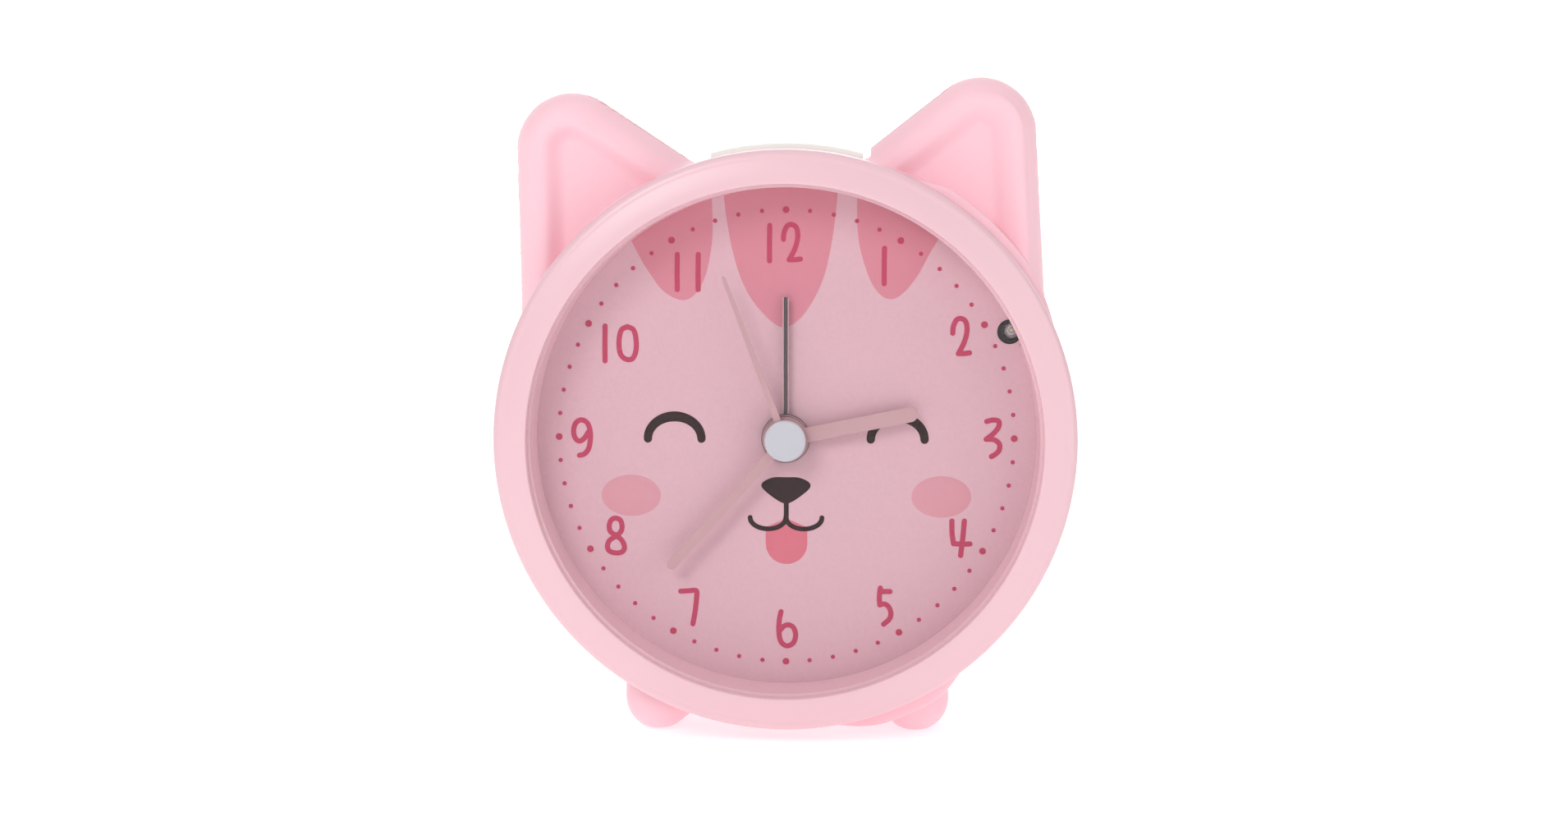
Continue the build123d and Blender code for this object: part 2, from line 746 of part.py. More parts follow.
rear_pivots = (
    ((0.0, 0.0), second_layer, pivot_radius),
    (third_place, third_layer + 1.4, pivot_radius),
    (fifth_place, fifth_layer, pivot_radius),
    (rotor_place, rotor_layer + 1.9, rotor_arbor_radius),
)
with BuildPart() as movement_housing:
    block(plate_back, module_back, module_low, module_high)
    fillet(movement_housing.edges().filter_by(Axis.Y), 1.5)
    block(
        plate_back - 1,
        housing_floor,
        (module_low[0] + module_wall, module_low[1] + module_wall),
        (module_high[0] - module_wall, module_high[1] - module_wall),
        Mode.SUBTRACT,
    )
    for place in peg_places:
        post(mid_plate_back, module_back, 2.4, place)
        post(mid_plate_back - 1, module_back + 1, module_screw_radius + part_gap, place, Mode.SUBTRACT)
    for place, layer, radius in rear_pivots:
        post(layer + train_gear_thick + 0.5, housing_floor, radius + 1.0, place)
        seat = layer + train_gear_thick
        post(seat, seat + 2.4, radius + run_gap, place, Mode.SUBTRACT)
    for place in knob_places:
        post(housing_floor - 1, module_back + 1, set_arbor_radius + run_gap, place, Mode.SUBTRACT)
    # ways in for the wires
    top_low = (wire_x - 6.6, module_top - 2)
    top_high = (wire_x + 1.2, module_top + 1)
    block(wire_depth - 1.2, wire_depth + 3.4, top_low, top_high, Mode.SUBTRACT)
    side_low = (-module_half_width - 1, buzzer_place[1] - 4.0)
    side_high = (-module_half_width + 2, buzzer_place[1])
    block(wire_depth - 0.4, wire_depth + 2.4, side_low, side_high, Mode.SUBTRACT)
finish(movement_housing.part, "movement_housing")

with BuildPart() as movement_screws:
    for place in peg_places:
        post(plate_back - 0.5, module_back, module_screw_radius - 0.02, place)
        post(module_back, module_back + 1.1, module_screw_head, place)
        for wide, high in ((1.2, 0.25), (0.25, 1.2)):
            slot_low = (place[0] - wide, place[1] - high)
            slot_high = (place[0] + wide, place[1] + high)
            block(module_back + 0.6, module_back + 1.5, slot_low, slot_high, Mode.SUBTRACT)
finish(movement_screws.part, "movement_screws")

# ---- movement: motor
stator_front = rotor_layer + 0.2
stator_thick = 0.8
stator_low = (rotor_place[0] - 5.6, rotor_place[1] - 4.2)
stator_high = (rotor_place[0] + 9.6, rotor_place[1] + 4.2)
coil_height = module_top - 7.2
arm_width = 3.0
magnet_radius = 2.4
with BuildPart() as stator:
    block(stator_front, stator_front + stator_thick, stator_low, stator_high)
    for left in (stator_low[0], stator_high[0] - arm_width):
        arm_high = (left + arm_width, coil_height + 1.2)
        block(stator_front, stator_front + stator_thick, (left, stator_low[1]), arm_high)
    post(stator_front - 1, stator_front + stator_thick + 1, magnet_radius + 0.4, rotor_place, Mode.SUBTRACT)
finish(stator.part, "stator")

core_front = stator_front + stator_thick
core_half = 0.9
core_thick = 0.8
bobbin_low = stator_low[0] + arm_width + 0.2
bobbin_high = stator_high[0] - arm_width - 0.2
bobbin_centre = core_front + core_thick / 2
with BuildPart() as coil_core:
    core_low = (stator_low[0], coil_height - core_half)
    core_high = (stator_high[0], coil_height + core_half)
    block(core_front, core_front + core_thick, core_low, core_high)
finish(coil_core.part, "coil_core")


def across(start, end, radius, height, depth, mode=Mode.ADD):
    """A round bar along x, between two x values, at a height and depth."""
    with Locations(Location(in_case((start + end) / 2, height, depth), (0, 90, 0))):
        Cylinder(radius, end - start, mode=mode)


bobbin_radius = 1.7
bobbin_flange = 2.6
winding_radius = 2.4
with BuildPart() as coil_bobbin:
    across(bobbin_low, bobbin_high, bobbin_radius, coil_height, bobbin_centre)
    across(bobbin_low, bobbin_low + 0.6, bobbin_flange, coil_height, bobbin_centre)
    across(bobbin_high - 0.6, bobbin_high, bobbin_flange, coil_height, bobbin_centre)
    block(
        core_front - 0.05,
        core_front + core_thick + 0.05,
        (bobbin_low - 1, coil_height - core_half - 0.05),
        (bobbin_high + 1, coil_height + core_half + 0.05),
        Mode.SUBTRACT,
    )
finish(coil_bobbin.part, "coil_bobbin")

with BuildPart() as coil_winding:
    across(bobbin_low + 0.65, bobbin_high - 0.65, winding_radius, coil_height, bobbin_centre)
    across(bobbin_low, bobbin_high, bobbin_radius + 0.02, coil_height, bobbin_centre, Mode.SUBTRACT)
finish(coil_winding.part, "coil_winding")

with BuildPart() as rotor_magnet:
    post(rotor_layer, rotor_layer + 1.6, magnet_radius, rotor_place)
    post(rotor_layer - 1, rotor_layer + 3, rotor_arbor_radius, rotor_place, Mode.SUBTRACT)
finish(rotor_magnet.part, "rotor_magnet")

circuit_front = housing_floor - 2.0
circuit_low = (plate_low[0] + 0.2, 0.5)
circuit_high = (-11.2, plate_high[1] - 4.4)
with BuildPart() as circuit_board:
    block(circuit_front, circuit_front + 0.8, circuit_low, circuit_high)
finish(circuit_board.part, "circuit_board")

chip_place = (-16.0, 7.0)
with BuildPart() as chip:
    post(circuit_front - 1.1, circuit_front, 2.6, chip_place)
    fillet(chip.faces().sort_by(Axis.Y)[0].edges(), 0.9)
finish(chip.part, "chip")

crystal_radius = 1.0
crystal_height = 15.5
with BuildPart() as quartz_crystal:
    across(-21.0, -14.5, crystal_radius, crystal_height, circuit_front - crystal_radius)
finish(quartz_crystal.part, "quartz_crystal")

# ---- movement: wheels
# The phase of each wheel is the angle of one of its teeth, so that every pair stands in mesh.
fifth_phase = meshed_phase(rotor_direction + 180, 0.0, rotor_teeth, fifth_teeth)
second_phase = meshed_phase(fifth_direction + 180, 0.0, fifth_pinion_teeth, second_teeth)
third_phase = meshed_phase(third_direction, 0.0, second_pinion_teeth, third_teeth)
centre_phase = meshed_phase(third_direction + 180, 0.0, third_pinion_teeth, centre_teeth)
minute_phase = meshed_phase(-set_angle, 0.0, cannon_teeth, minute_teeth)
hour_phase = meshed_phase(180 - set_angle, 0.0, minute_pinion_teeth, hour_teeth)
alarm_pinion_phase = meshed_phase(180 + set_angle, 0.0, alarm_teeth, alarm_pinion_teeth)

rotor_module = 2 * rotor_distance / (rotor_teeth + fifth_teeth)
fifth_module = 2 * fifth_distance / (fifth_pinion_teeth + second_teeth)
second_module = 2 * third_distance / (second_pinion_teeth + third_teeth)
third_module = 2 * third_distance / (third_pinion_teeth + centre_teeth)
cannon_module = 2 * set_offset / (cannon_teeth + minute_teeth)
hour_module = 2 * set_offset / (minute_pinion_teeth + hour_teeth)
alarm_module = 2 * set_offset / (alarm_teeth + alarm_pinion_teeth)


def toothed(front, thick, teeth, module, phase, at=(0.0, 0.0)):
    """A toothed wheel from its front face's depth and its thickness."""
    with BuildSketch(facing(front)) as outline:
        with BuildLine():
            Polyline(*gear_outline(teeth, module, phase, at), close=True)
        make_face()
    extrude(to_extrude=outline.sketch, amount=-thick)


with BuildPart() as rotor_pinion:
    toothed(fifth_layer - 0.3, train_gear_thick + 0.6, rotor_teeth, rotor_module, 0.0, rotor_place)
    post(mid_plate_front + 0.1, rotor_layer + 3.2, rotor_arbor_radius, rotor_place)
finish(rotor_pinion.part, "rotor_pinion")

with BuildPart() as fifth_wheel:
    toothed(fifth_layer, train_gear_thick, fifth_teeth, rotor_module, fifth_phase, fifth_place)
    fifth_pinion_thick = fifth_layer - second_layer + 0.2
    toothed(second_layer - 0.2, fifth_pinion_thick, fifth_pinion_teeth, fifth_module, 0.0, fifth_place)
    post(mid_plate_front + 0.1, fifth_layer + train_gear_thick + 2.2, pivot_radius, fifth_place)
finish(fifth_wheel.part, "fifth_wheel")

with BuildPart() as second_wheel:
    toothed(second_layer, train_gear_thick, second_teeth, fifth_module, second_phase)
    second_pinion_thick = second_layer - third_layer + 0.2
    toothed(third_layer - 0.2, second_pinion_thick, second_pinion_teeth, second_module, 0.0)
    arbor_front = dial_depth - second_hand_lift - hand_thick - 0.5
    post(arbor_front, second_layer + train_gear_thick + 2.2, second_arbor_radius)
finish(second_wheel.part, "second_wheel")

with BuildPart() as third_wheel:
    toothed(third_layer, train_gear_thick, third_teeth, second_module, third_phase, third_place)
    third_pinion_thick = third_layer - centre_layer + 0.2
    toothed(centre_layer - 0.2, third_pinion_thick, third_pinion_teeth, third_module, 0.0, third_place)
    post(mid_plate_front + 0.1, third_layer + train_gear_thick + 2.2, pivot_radius, third_place)
finish(third_wheel.part, "third_wheel")

with BuildPart() as centre_wheel:
    toothed(centre_layer, train_gear_thick, centre_teeth, third_module, centre_phase)
    post(centre_layer - 1, centre_layer + 2, hub_radius + run_gap, mode=Mode.SUBTRACT)
finish(centre_wheel.part, "centre_wheel")

with BuildPart() as cannon_pinion:
    toothed(minute_layer - 0.2, gear_thick + 0.4, cannon_teeth, cannon_module, 0.0)
    post(dial_depth - minute_hand_lift - hand_thick - 0.1, minute_layer, minute_pipe_radius)
    post(minute_layer, centre_layer + train_gear_thick + 0.1, hub_radius)
    post(dial_depth - 10, third_layer, second_arbor_radius + run_gap, mode=Mode.SUBTRACT)
finish(cannon_pinion.part, "cannon_pinion")

with BuildPart() as minute_wheel:
    toothed(minute_layer, gear_thick, minute_teeth, cannon_module, minute_phase, time_set_place)
    minute_pinion_thick = minute_layer - hour_layer + 0.2
    toothed(hour_layer - 0.2, minute_pinion_thick, minute_pinion_teeth, hour_module, 0.0, time_set_place)
    post(plate_back - 0.8, knob_front + 4.0, set_arbor_radius, time_set_place)
finish(minute_wheel.part, "minute_wheel")

with BuildPart() as hour_wheel:
    toothed(hour_layer, gear_thick, hour_teeth, hour_module, hour_phase)
    post(dial_depth - hour_hand_lift - hand_thick - 0.2, hour_layer, hour_pipe_radius)
    post(dial_depth - 10, minute_layer, minute_pipe_radius + run_gap, mode=Mode.SUBTRACT)
finish(hour_wheel.part, "hour_wheel")

with BuildPart() as alarm_wheel:
    toothed(alarm_layer, gear_thick, alarm_teeth, alarm_module, 0.0)
    post(dial_depth - alarm_hand_lift - hand_thick - 0.3, alarm_layer, alarm_pipe_radius)
    post(dial_depth - 10, hour_layer, hour_pipe_radius + run_gap, mode=Mode.SUBTRACT)
finish(alarm_wheel.part, "alarm_wheel")

with BuildPart() as alarm_pinion:
    alarm_pinion_thick = gear_thick + 0.2
    toothed(
        alarm_layer - 0.1,
        alarm_pinion_thick,
        alarm_pinion_teeth,
        alarm_module,
        alarm_pinion_phase,
        alarm_set_place,
    )
    post(plate_back - 0.8, knob_front + 4.0, set_arbor_radius, alarm_set_place)
finish(alarm_pinion.part, "alarm_pinion")

# ---- hands
def hand(lift, hub, bore, length, widths, angle):
    """A hand: a round hub and a straight blade with a round end, at an angle clockwise from 12."""
    back = dial_depth - lift
    root_width, tip_width = widths
    with BuildSketch(facing(back)) as outline:
        Circle(hub)
        with Locations(Location((0, 0, 0), (0, 0, -angle))):
            side_angle = 90 - math.degrees(math.atan((root_width - tip_width) / 2 / length))
            Trapezoid(root_width, length - tip_width / 2, side_angle, align=(Align.CENTER, Align.MIN))
            with Locations((0, length - tip_width / 2)):
                Circle(tip_width / 2)
    extrude(to_extrude=outline.sketch, amount=hand_thick)
    post(back - 2, back + 2, bore, mode=Mode.SUBTRACT)


with BuildPart() as alarm_hand:
    alarm_widths = (alarm_hand_width, alarm_hand_width)
    hand(
        alarm_hand_lift,
        alarm_hub_radius,
        alarm_pipe_radius,
        alarm_hand_length,
        alarm_widths,
        alarm_hand_angle,
    )
finish(alarm_hand.part, "alarm_hand")

with BuildPart() as hour_hand:
    hour_widths = (hour_hand_width, hour_hand_width)
    hand(
        hour_hand_lift,
        hour_hub_radius,
        hour_pipe_radius,
        hour_hand_length,
        hour_widths,
        hour_hand_angle,
    )
finish(hour_hand.part, "hour_hand")

with BuildPart() as minute_hand:
    minute_widths = (minute_hand_width, minute_hand_width)
    hand(
        minute_hand_lift,
        minute_hub_radius,
        minute_pipe_radius,
        minute_hand_length,
        minute_widths,
        minute_hand_angle,
    )
finish(minute_hand.part, "minute_hand")

with BuildPart() as second_hand:
    second_widths = (second_hand_root_width, second_hand_tip_width)
    hand(
        second_hand_lift,
        second_hub_radius,
        second_arbor_radius,
        second_hand_length,
        second_widths,
        second_hand_angle,
    )
finish(second_hand.part, "second_hand")

cap_back = dial_depth - second_hand_lift - hand_thick
with BuildPart() as hand_cap:
    post(cap_back - cap_height, cap_back, cap_radius)
    fillet(hand_cap.faces().sort_by(Axis.Y)[0].edges(), 0.4)
    post(cap_back - 0.5, cap_back + 1, second_arbor_radius, mode=Mode.SUBTRACT)
finish(hand_cap.part, "hand_cap")

# ---- knobs on the back
for name, place in (("time_knob", time_set_place), ("alarm_knob", alarm_set_place)):
    with BuildPart() as knob:
        post(knob_front, knob_back, knob_radius, place)
        chamfer(knob.edges().filter_by(GeomType.CIRCLE), 0.7)
        for n in range(knob_flutes):
            flute = polar(knob_radius + 0.15, n * 360 / knob_flutes, place)
            post(knob_front - 1, knob_back + 1, knob_flute_radius, flute, Mode.SUBTRACT)
        post(knob_back - 0.5, knob_back + 1, knob_radius - 2.2, place, Mode.SUBTRACT)
        post(knob_front - 1, knob_front + 4.0, set_arbor_radius, place, Mode.SUBTRACT)
    finish(knob.part, name)

# ---- alarm switch
carriage_half = (3.3, 2.0)
carriage_front = rear_inside - 2.6
carriage_back = rear_inside - 0.5
block_wall = 1.0
with BuildPart() as alarm_switch:
    knob_middle = switch_place[0] - alarm_switch_travel / 2
    knob_half = (alarm_switch_width / 2, 1.5)
    block(
        carriage_back - 0.1,
        rear_face + 1.6,
        (knob_middle - knob_half[0], switch_place[1] - knob_half[1]),
        (knob_middle + knob_half[0], switch_place[1] + knob_half[1]),
    )
    for ridge in (-1.4, 0.0, 1.4):
        block(
            rear_face + 1.2,
            rear_face + 2.0,
            (knob_middle + ridge - 0.3, switch_place[1] - knob_half[1]),
            (knob_middle + ridge + 0.3, switch_place[1] + knob_half[1]),
            Mode.SUBTRACT,
        )
    block(
        carriage_front,
        carriage_back,
        (knob_middle - carriage_half[0], switch_place[1] - carriage_half[1]),
        (knob_middle + carriage_half[0], switch_place[1] + carriage_half[1]),
    )
finish(alarm_switch.part, "alarm_switch")

with BuildPart() as alarm_switch_body:
    cavity = (alarm_switch_travel / 2 + carriage_half[0] + 0.3, carriage_half[1] + 0.2)
    block(
        carriage_front - 0.2 - block_wall,
        rear_inside,
        (switch_place[0] - cavity[0] - block_wall, switch_place[1] - cavity[1] - block_wall),
        (switch_place[0] + cavity[0] + block_wall, switch_place[1] + cavity[1] + block_wall),
    )
    block(
        carriage_front - 0.2,
        rear_inside + 1,
        (switch_place[0] - cavity[0], switch_place[1] - cavity[1]),
        (switch_place[0] + cavity[0], switch_place[1] + cavity[1]),
        Mode.SUBTRACT,
    )
finish(alarm_switch_body.part, "alarm_switch_body")

# ---- buzzer and case screws
with BuildPart() as buzzer:
    post(rear_inside - buzzer_thick, rear_inside, buzzer_radius, buzzer_place)
    post(rear_inside - 0.6, rear_inside + 1, buzzer_radius - 1.0, buzzer_place, Mode.SUBTRACT)
finish(buzzer.part, "buzzer")

with BuildPart() as case_screws:
    for place in screw_places:
        post(well_floor_depth - screw_length, well_floor_depth, screw_shank_radius, place)
        post(well_floor_depth, well_floor_depth + screw_head_thick, screw_head_radius, place)
        for wide, high in ((1.6, 0.35), (0.35, 1.6)):
            block(
                well_floor_depth + 0.8,
                well_floor_depth + screw_head_thick + 1,
                (place[0] - wide, place[1] - high),
                (place[0] + wide, place[1] + high),
                Mode.SUBTRACT,
            )
finish(case_screws.part, "case_screws")

# ---- battery
cell_depth = bay_floor + 0.3 + cell_radius
cell_right = bay_half_length - contact_thick
cell_left = cell_right - cell_length
with BuildPart() as battery_cell:
    across(cell_left, cell_right - cell_nub_length, cell_radius, -bay_drop, cell_depth)
    fillet(battery_cell.edges().filter_by(GeomType.CIRCLE), 0.6)
    across(cell_right - cell_nub_length - 0.5, cell_right, cell_nub_radius, -bay_drop, cell_depth)
finish(battery_cell.part, "battery_cell")


def contact_plate(side):
    """A flat contact at one end of the bay, with a tab that comes out of the bay's floor."""
    ends = sorted((side * bay_half_length, side * (bay_half_length - contact_thick)))
    block(bay_floor, door_front - 1.5, (ends[0], -bay_drop - 5.5), (ends[1], 5.5 - bay_drop))
    block(tab_depth, bay_floor, (ends[0], -bay_drop - tab_half_width), (ends[1], tab_half_width - bay_drop))


door_front = rear_face - door_thick + part_gap
spring_radius = 3.6
spring_wire = 0.4
spring_turns = 4.0
with BuildPart() as battery_spring:
    contact_plate(-1)
    spring_start = contact_thick + spring_wire - bay_half_length
    spring_length = cell_left - spring_wire - part_gap - spring_start
    coil = Helix(
        pitch=spring_length / spring_turns,
        height=spring_length,
        radius=spring_radius,
        center=in_case(spring_start, -bay_drop, cell_depth),
        direction=(1, 0, 0),
        cone_angle=-14,
    )
    with BuildSketch(Plane(origin=coil @ 0, z_dir=coil % 0)) as coil_section:
        Circle(spring_wire)
    sweep(sections=coil_section.sketch, path=coil, is_frenet=True)
finish(battery_spring.part, "battery_spring")

with BuildPart() as battery_contact:
    contact_plate(1)
finish(battery_contact.part, "battery_contact")

with BuildPart() as battery_door:
    block(door_front, rear_face, door_low, door_high)
    fillet(battery_door.edges().filter_by(Axis.Y), 0.8)
    for n in range(4):
        rib_top = door_high[1] - 2.4 - 1.3 * n
        block(rear_face - 0.5, rear_face + 1, (-5.0, rib_top - 0.6), (5.0, rib_top), Mode.SUBTRACT)
finish(battery_door.part, "battery_door")

# ---- wires inside the case
tab_x = bay_half_length - contact_thick / 2
thin_wire = 0.5


def mirrored(points, side):
    """A route as it is, or its mirror image across the middle of the clock."""
    return [(side * x, z, depth) for x, z, depth in points]


battery_route = [
    (tab_x, tab_half_width - bay_drop, tab_depth + 1.0),
    (tab_x, tab_half_width - bay_drop + 3.0, tab_depth + 1.0),
    (31.0, -20.0, 17.5),
    (31.5, -9.0, 19.0),
    (31.0, 4.0, 21.0),
    (32.5, 20.5, 28.0),
    (25.5, board_height - 10.5, 28.0),
    (13.5, board_height - 5.5, 27.5),
    (6.0, board_height - 5.2, 27.0),
    (6.0, board_height, 27.0),
]
battery_radii = [2.5, 8.0, 14.0, 12.0, 6.0, 7.0, 10.0, 2.5]
for name, side in (("battery_wire_red", 1), ("battery_wire_black", -1)):
    with BuildPart() as battery_wire:
        wire(mirrored(battery_route, side), battery_radii, thin_wire)
    finish(battery_wire.part, name)

for n, name in enumerate(("movement_wire_red", "movement_wire_black")):
    entry = wire_x - 1.8 * n
    with BuildPart() as movement_wire:
        wire(
            [
                (entry + 4.6, board_height, wire_depth),
                (entry + 4.6, board_height - 5.0, wire_depth),
                (entry, board_height - 10.5, wire_depth),
                (entry, 19.0, wire_depth),
                (entry, 19.0, circuit_front),
            ],
            [4.0, 4.0, 2.0],
            thin_wire,
        )
    finish(movement_wire.part, name)

with BuildPart() as switch_wires:
    for n in range(2):
        entry = wire_x - 5.2 + 1.6 * n
        level = switch_place[1] - 0.8 - 1.6 * n
        wire(
            [
                (-3.2 - 1.6 * n, level, carriage_front - 0.2 - block_wall),
                (-3.2 - 1.6 * n, level, wire_depth + 2.6),
                (entry + 3.0, level - 0.6, wire_depth + 2.2),
                (entry, level - 4.0, wire_depth + 2.0),
                (entry, 18.8, wire_depth + 2.0),
                (entry, 18.8, circuit_front),
            ],
            [1.6, 3.5, 3.0, 1.2],
            thin_wire,
        )
finish(switch_wires.part, "switch_wires")

with BuildPart() as buzzer_wires:
    for n in range(2):
        level = buzzer_place[1] - 1.2 - 1.6 * n
        wire(
            [
                (buzzer_place[0] + 2.5, level, rear_inside - buzzer_thick),
                (buzzer_place[0] + 2.5, level, wire_depth + 2.6),
                (-31.0, level, wire_depth + 1.6),
                (-25.5, level, wire_depth + 0.8),
                (-21.5, level, wire_depth + 0.8),
                (-21.5, level, circuit_front),
            ],
            [2.0, 12.0, 6.0, 1.5],
            thin_wire,
        )
finish(buzzer_wires.part, "buzzer_wires")
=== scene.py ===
# %% [markdown]
# # A cat-faced desk alarm clock
#
# The clock is a round plastic case in a soft silicone sleeve. Its shapes are of three kinds, and each kind has its
# own best way in Blender:
#
# - machined or moulded parts that turn about the hand axis, such as the bezel, are a profile carried round a circle;
# - the soft sleeve with its ears is one skin over a grid of angle and profile, so that nothing creases at the ears;
# - the print on the dial is thin ink: every stroke is a ribbon along a smooth path, and every patch is a filled
#   outline.
#
# Parts that the CAD model already shapes well stay as they are and only get a better material.

# %% Load the frame
import math
import json

import bmesh
import bpy
import numpy as np
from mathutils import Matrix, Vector

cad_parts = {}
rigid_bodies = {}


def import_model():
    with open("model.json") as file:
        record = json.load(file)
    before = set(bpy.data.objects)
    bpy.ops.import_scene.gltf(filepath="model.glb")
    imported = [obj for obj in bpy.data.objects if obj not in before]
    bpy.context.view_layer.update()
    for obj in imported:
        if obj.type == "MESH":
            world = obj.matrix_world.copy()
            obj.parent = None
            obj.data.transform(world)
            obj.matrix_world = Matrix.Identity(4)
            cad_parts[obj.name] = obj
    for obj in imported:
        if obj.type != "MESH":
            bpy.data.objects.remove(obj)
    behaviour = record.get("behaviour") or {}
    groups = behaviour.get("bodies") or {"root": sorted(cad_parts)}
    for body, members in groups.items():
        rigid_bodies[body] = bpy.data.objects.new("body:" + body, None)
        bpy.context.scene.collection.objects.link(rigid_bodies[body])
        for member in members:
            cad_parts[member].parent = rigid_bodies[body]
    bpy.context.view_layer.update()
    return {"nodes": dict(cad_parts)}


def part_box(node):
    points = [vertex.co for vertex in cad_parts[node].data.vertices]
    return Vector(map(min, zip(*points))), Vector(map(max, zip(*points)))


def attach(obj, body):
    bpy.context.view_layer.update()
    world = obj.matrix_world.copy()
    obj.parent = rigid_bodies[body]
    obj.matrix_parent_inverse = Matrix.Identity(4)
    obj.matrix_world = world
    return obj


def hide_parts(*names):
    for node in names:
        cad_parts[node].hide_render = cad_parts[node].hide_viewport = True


for leftover in list(bpy.data.objects):
    bpy.data.objects.remove(leftover)
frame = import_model()
nodes = frame["nodes"]

# %% [markdown]
# ## One set of coordinates
#
# Everything is drawn in millimetres from the hand axis: x to the right, z up, and a depth measured backwards from the
# lip of the bezel. Two short functions turn that into metres in the clock's own frame, so no piece needs fitting.

# %% Places on the clock
MM = 0.001
bezel_low, bezel_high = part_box("bezel")
dial_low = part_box("dial")[0]
AXIS_Z = (bezel_low.z + bezel_high.z) / 2
LIP_Y = bezel_low.y
DIAL_DEPTH = (dial_low.y - LIP_Y) / MM
BEZEL_RADIUS = (bezel_high.x - bezel_low.x) / 2 / MM


def place(x, z, depth):
    """Points in metres from x and z about the hand axis and depth behind the bezel's lip, all in millimetres."""
    x, z, depth = np.broadcast_arrays(x, z, depth)
    return np.stack([x * MM, LIP_Y + depth * MM, AXIS_Z + z * MM], axis=-1)


def round_axis(radius, angle, depth):
    """The same from a radius and an angle in radians, measured from +x towards +z."""
    return place(radius * np.cos(angle), radius * np.sin(angle), depth)


def node_radius(name):
    """Half the width of a CAD node, in millimetres."""
    low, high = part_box(name)
    return (high.x - low.x) / 2 / MM


print(f"hand axis {AXIS_Z / MM:.1f} mm up, dial {DIAL_DEPTH:.1f} mm behind the lip, bezel radius {BEZEL_RADIUS:.1f} mm")

# %% [markdown]
# ## From a grid to a mesh
#
# A surface is worked out as one array of points, rows by columns, and its quads join each point to its neighbours.
# A row whose points all meet is a pole: merging doubled points closes it. Closed skins then have all faces outwards.

# %% Grid to mesh
MERGE = 1e-7


def skin(name, grids, join_rows=False, join_columns=True, crease=35):
    """One mesh from a list of grids, each an array (rows, columns, 3) in metres.

    Quad (i, j) joins points (i, j), (i, j+1), (i+1, j+1), (i+1, j). The last row or column joins the first if asked.
    Edges bent more than the crease angle, in degrees, are shaded sharp.
    """
    points, quads, start = [], [], 0
    for grid in grids:
        rows, columns = grid.shape[:2]
        index = start + np.arange(rows * columns).reshape(rows, columns)
        if join_rows:
            index = np.concatenate([index, index[:1]], axis=0)
        if join_columns:
            index = np.concatenate([index, index[:, :1]], axis=1)
        corners = (index[:-1, :-1], index[:-1, 1:], index[1:, 1:], index[1:, :-1])
        quads.append(np.stack(corners, axis=-1).reshape(-1, 4))
        points.append(grid.reshape(-1, 3))
        start += rows * columns
    mesh = bpy.data.meshes.new(name)
    mesh.from_pydata(np.concatenate(points).tolist(), [], np.concatenate(quads).tolist())
    shell = bmesh.new()
    shell.from_mesh(mesh)
    bmesh.ops.remove_doubles(shell, verts=shell.verts, dist=MERGE)
    bmesh.ops.dissolve_degenerate(shell, edges=shell.edges, dist=MERGE)
    bmesh.ops.recalc_face_normals(shell, faces=shell.faces)
    shell.to_mesh(mesh)
    shell.free()
    mesh.shade_smooth()
    mesh.set_sharp_from_angle(angle=math.radians(crease))
    piece = bpy.data.objects.new(name, mesh)
    bpy.context.scene.collection.objects.link(piece)
    return piece


def fit_out(piece, body, material, replaced=()):
    """Gives a finished piece its body, its material and the CAD nodes that it stands for."""
    piece.data.materials.clear()
    piece.data.materials.append(material)
    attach(piece, body)
    if replaced:
        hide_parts(*replaced)
    print(f"{piece.name}: {len(piece.data.polygons)} faces")
    return piece


# %% [markdown]
# ## Colours and one way to add a shader node
#
# Colours are written as sRGB hex, as on a colour card, and turned to linear light once. Every material starts from
# what the real stuff is and how its surface was made, and pattern sizes are real millimetres, because all textures
# read Object coordinates, which are metres here.


# %% Shader helpers
def linear(hexa, alpha=1.0):
    """Linear RGBA from an sRGB hex colour."""
    srgb = np.array([int(hexa[i : i + 2], 16) for i in (1, 3, 5)]) / 255
    light = np.where(srgb <= 0.04045, srgb / 12.92, ((srgb + 0.055) / 1.055) ** 2.4)
    return (*light.tolist(), alpha)


def add(tree, kind, inputs=None, **settings):
    """Adds a node, sets its properties, and fills its inputs with values or links from other nodes' outputs."""
    node = tree.nodes.new(kind)
    for key, value in settings.items():
        setattr(node, key, value)
    for key, value in (inputs or {}).items():
        if isinstance(value, bpy.types.NodeSocket):
            tree.links.new(value, node.inputs[key])
        else:
            node.inputs[key].default_value = value
    return node


def start_material(name):
    """An empty material: its node tree, the object coordinates and a principled shader on its output."""
    material = bpy.data.materials.new(name)
    material.use_nodes = True
    tree = material.node_tree
    tree.nodes.clear()
    output = add(tree, "ShaderNodeOutputMaterial")
    shader = add(tree, "ShaderNodeBsdfPrincipled")
    tree.links.new(shader.outputs["BSDF"], output.inputs["Surface"])
    where = add(tree, "ShaderNodeTexCoord").outputs["Object"]
    return material, tree, shader, where


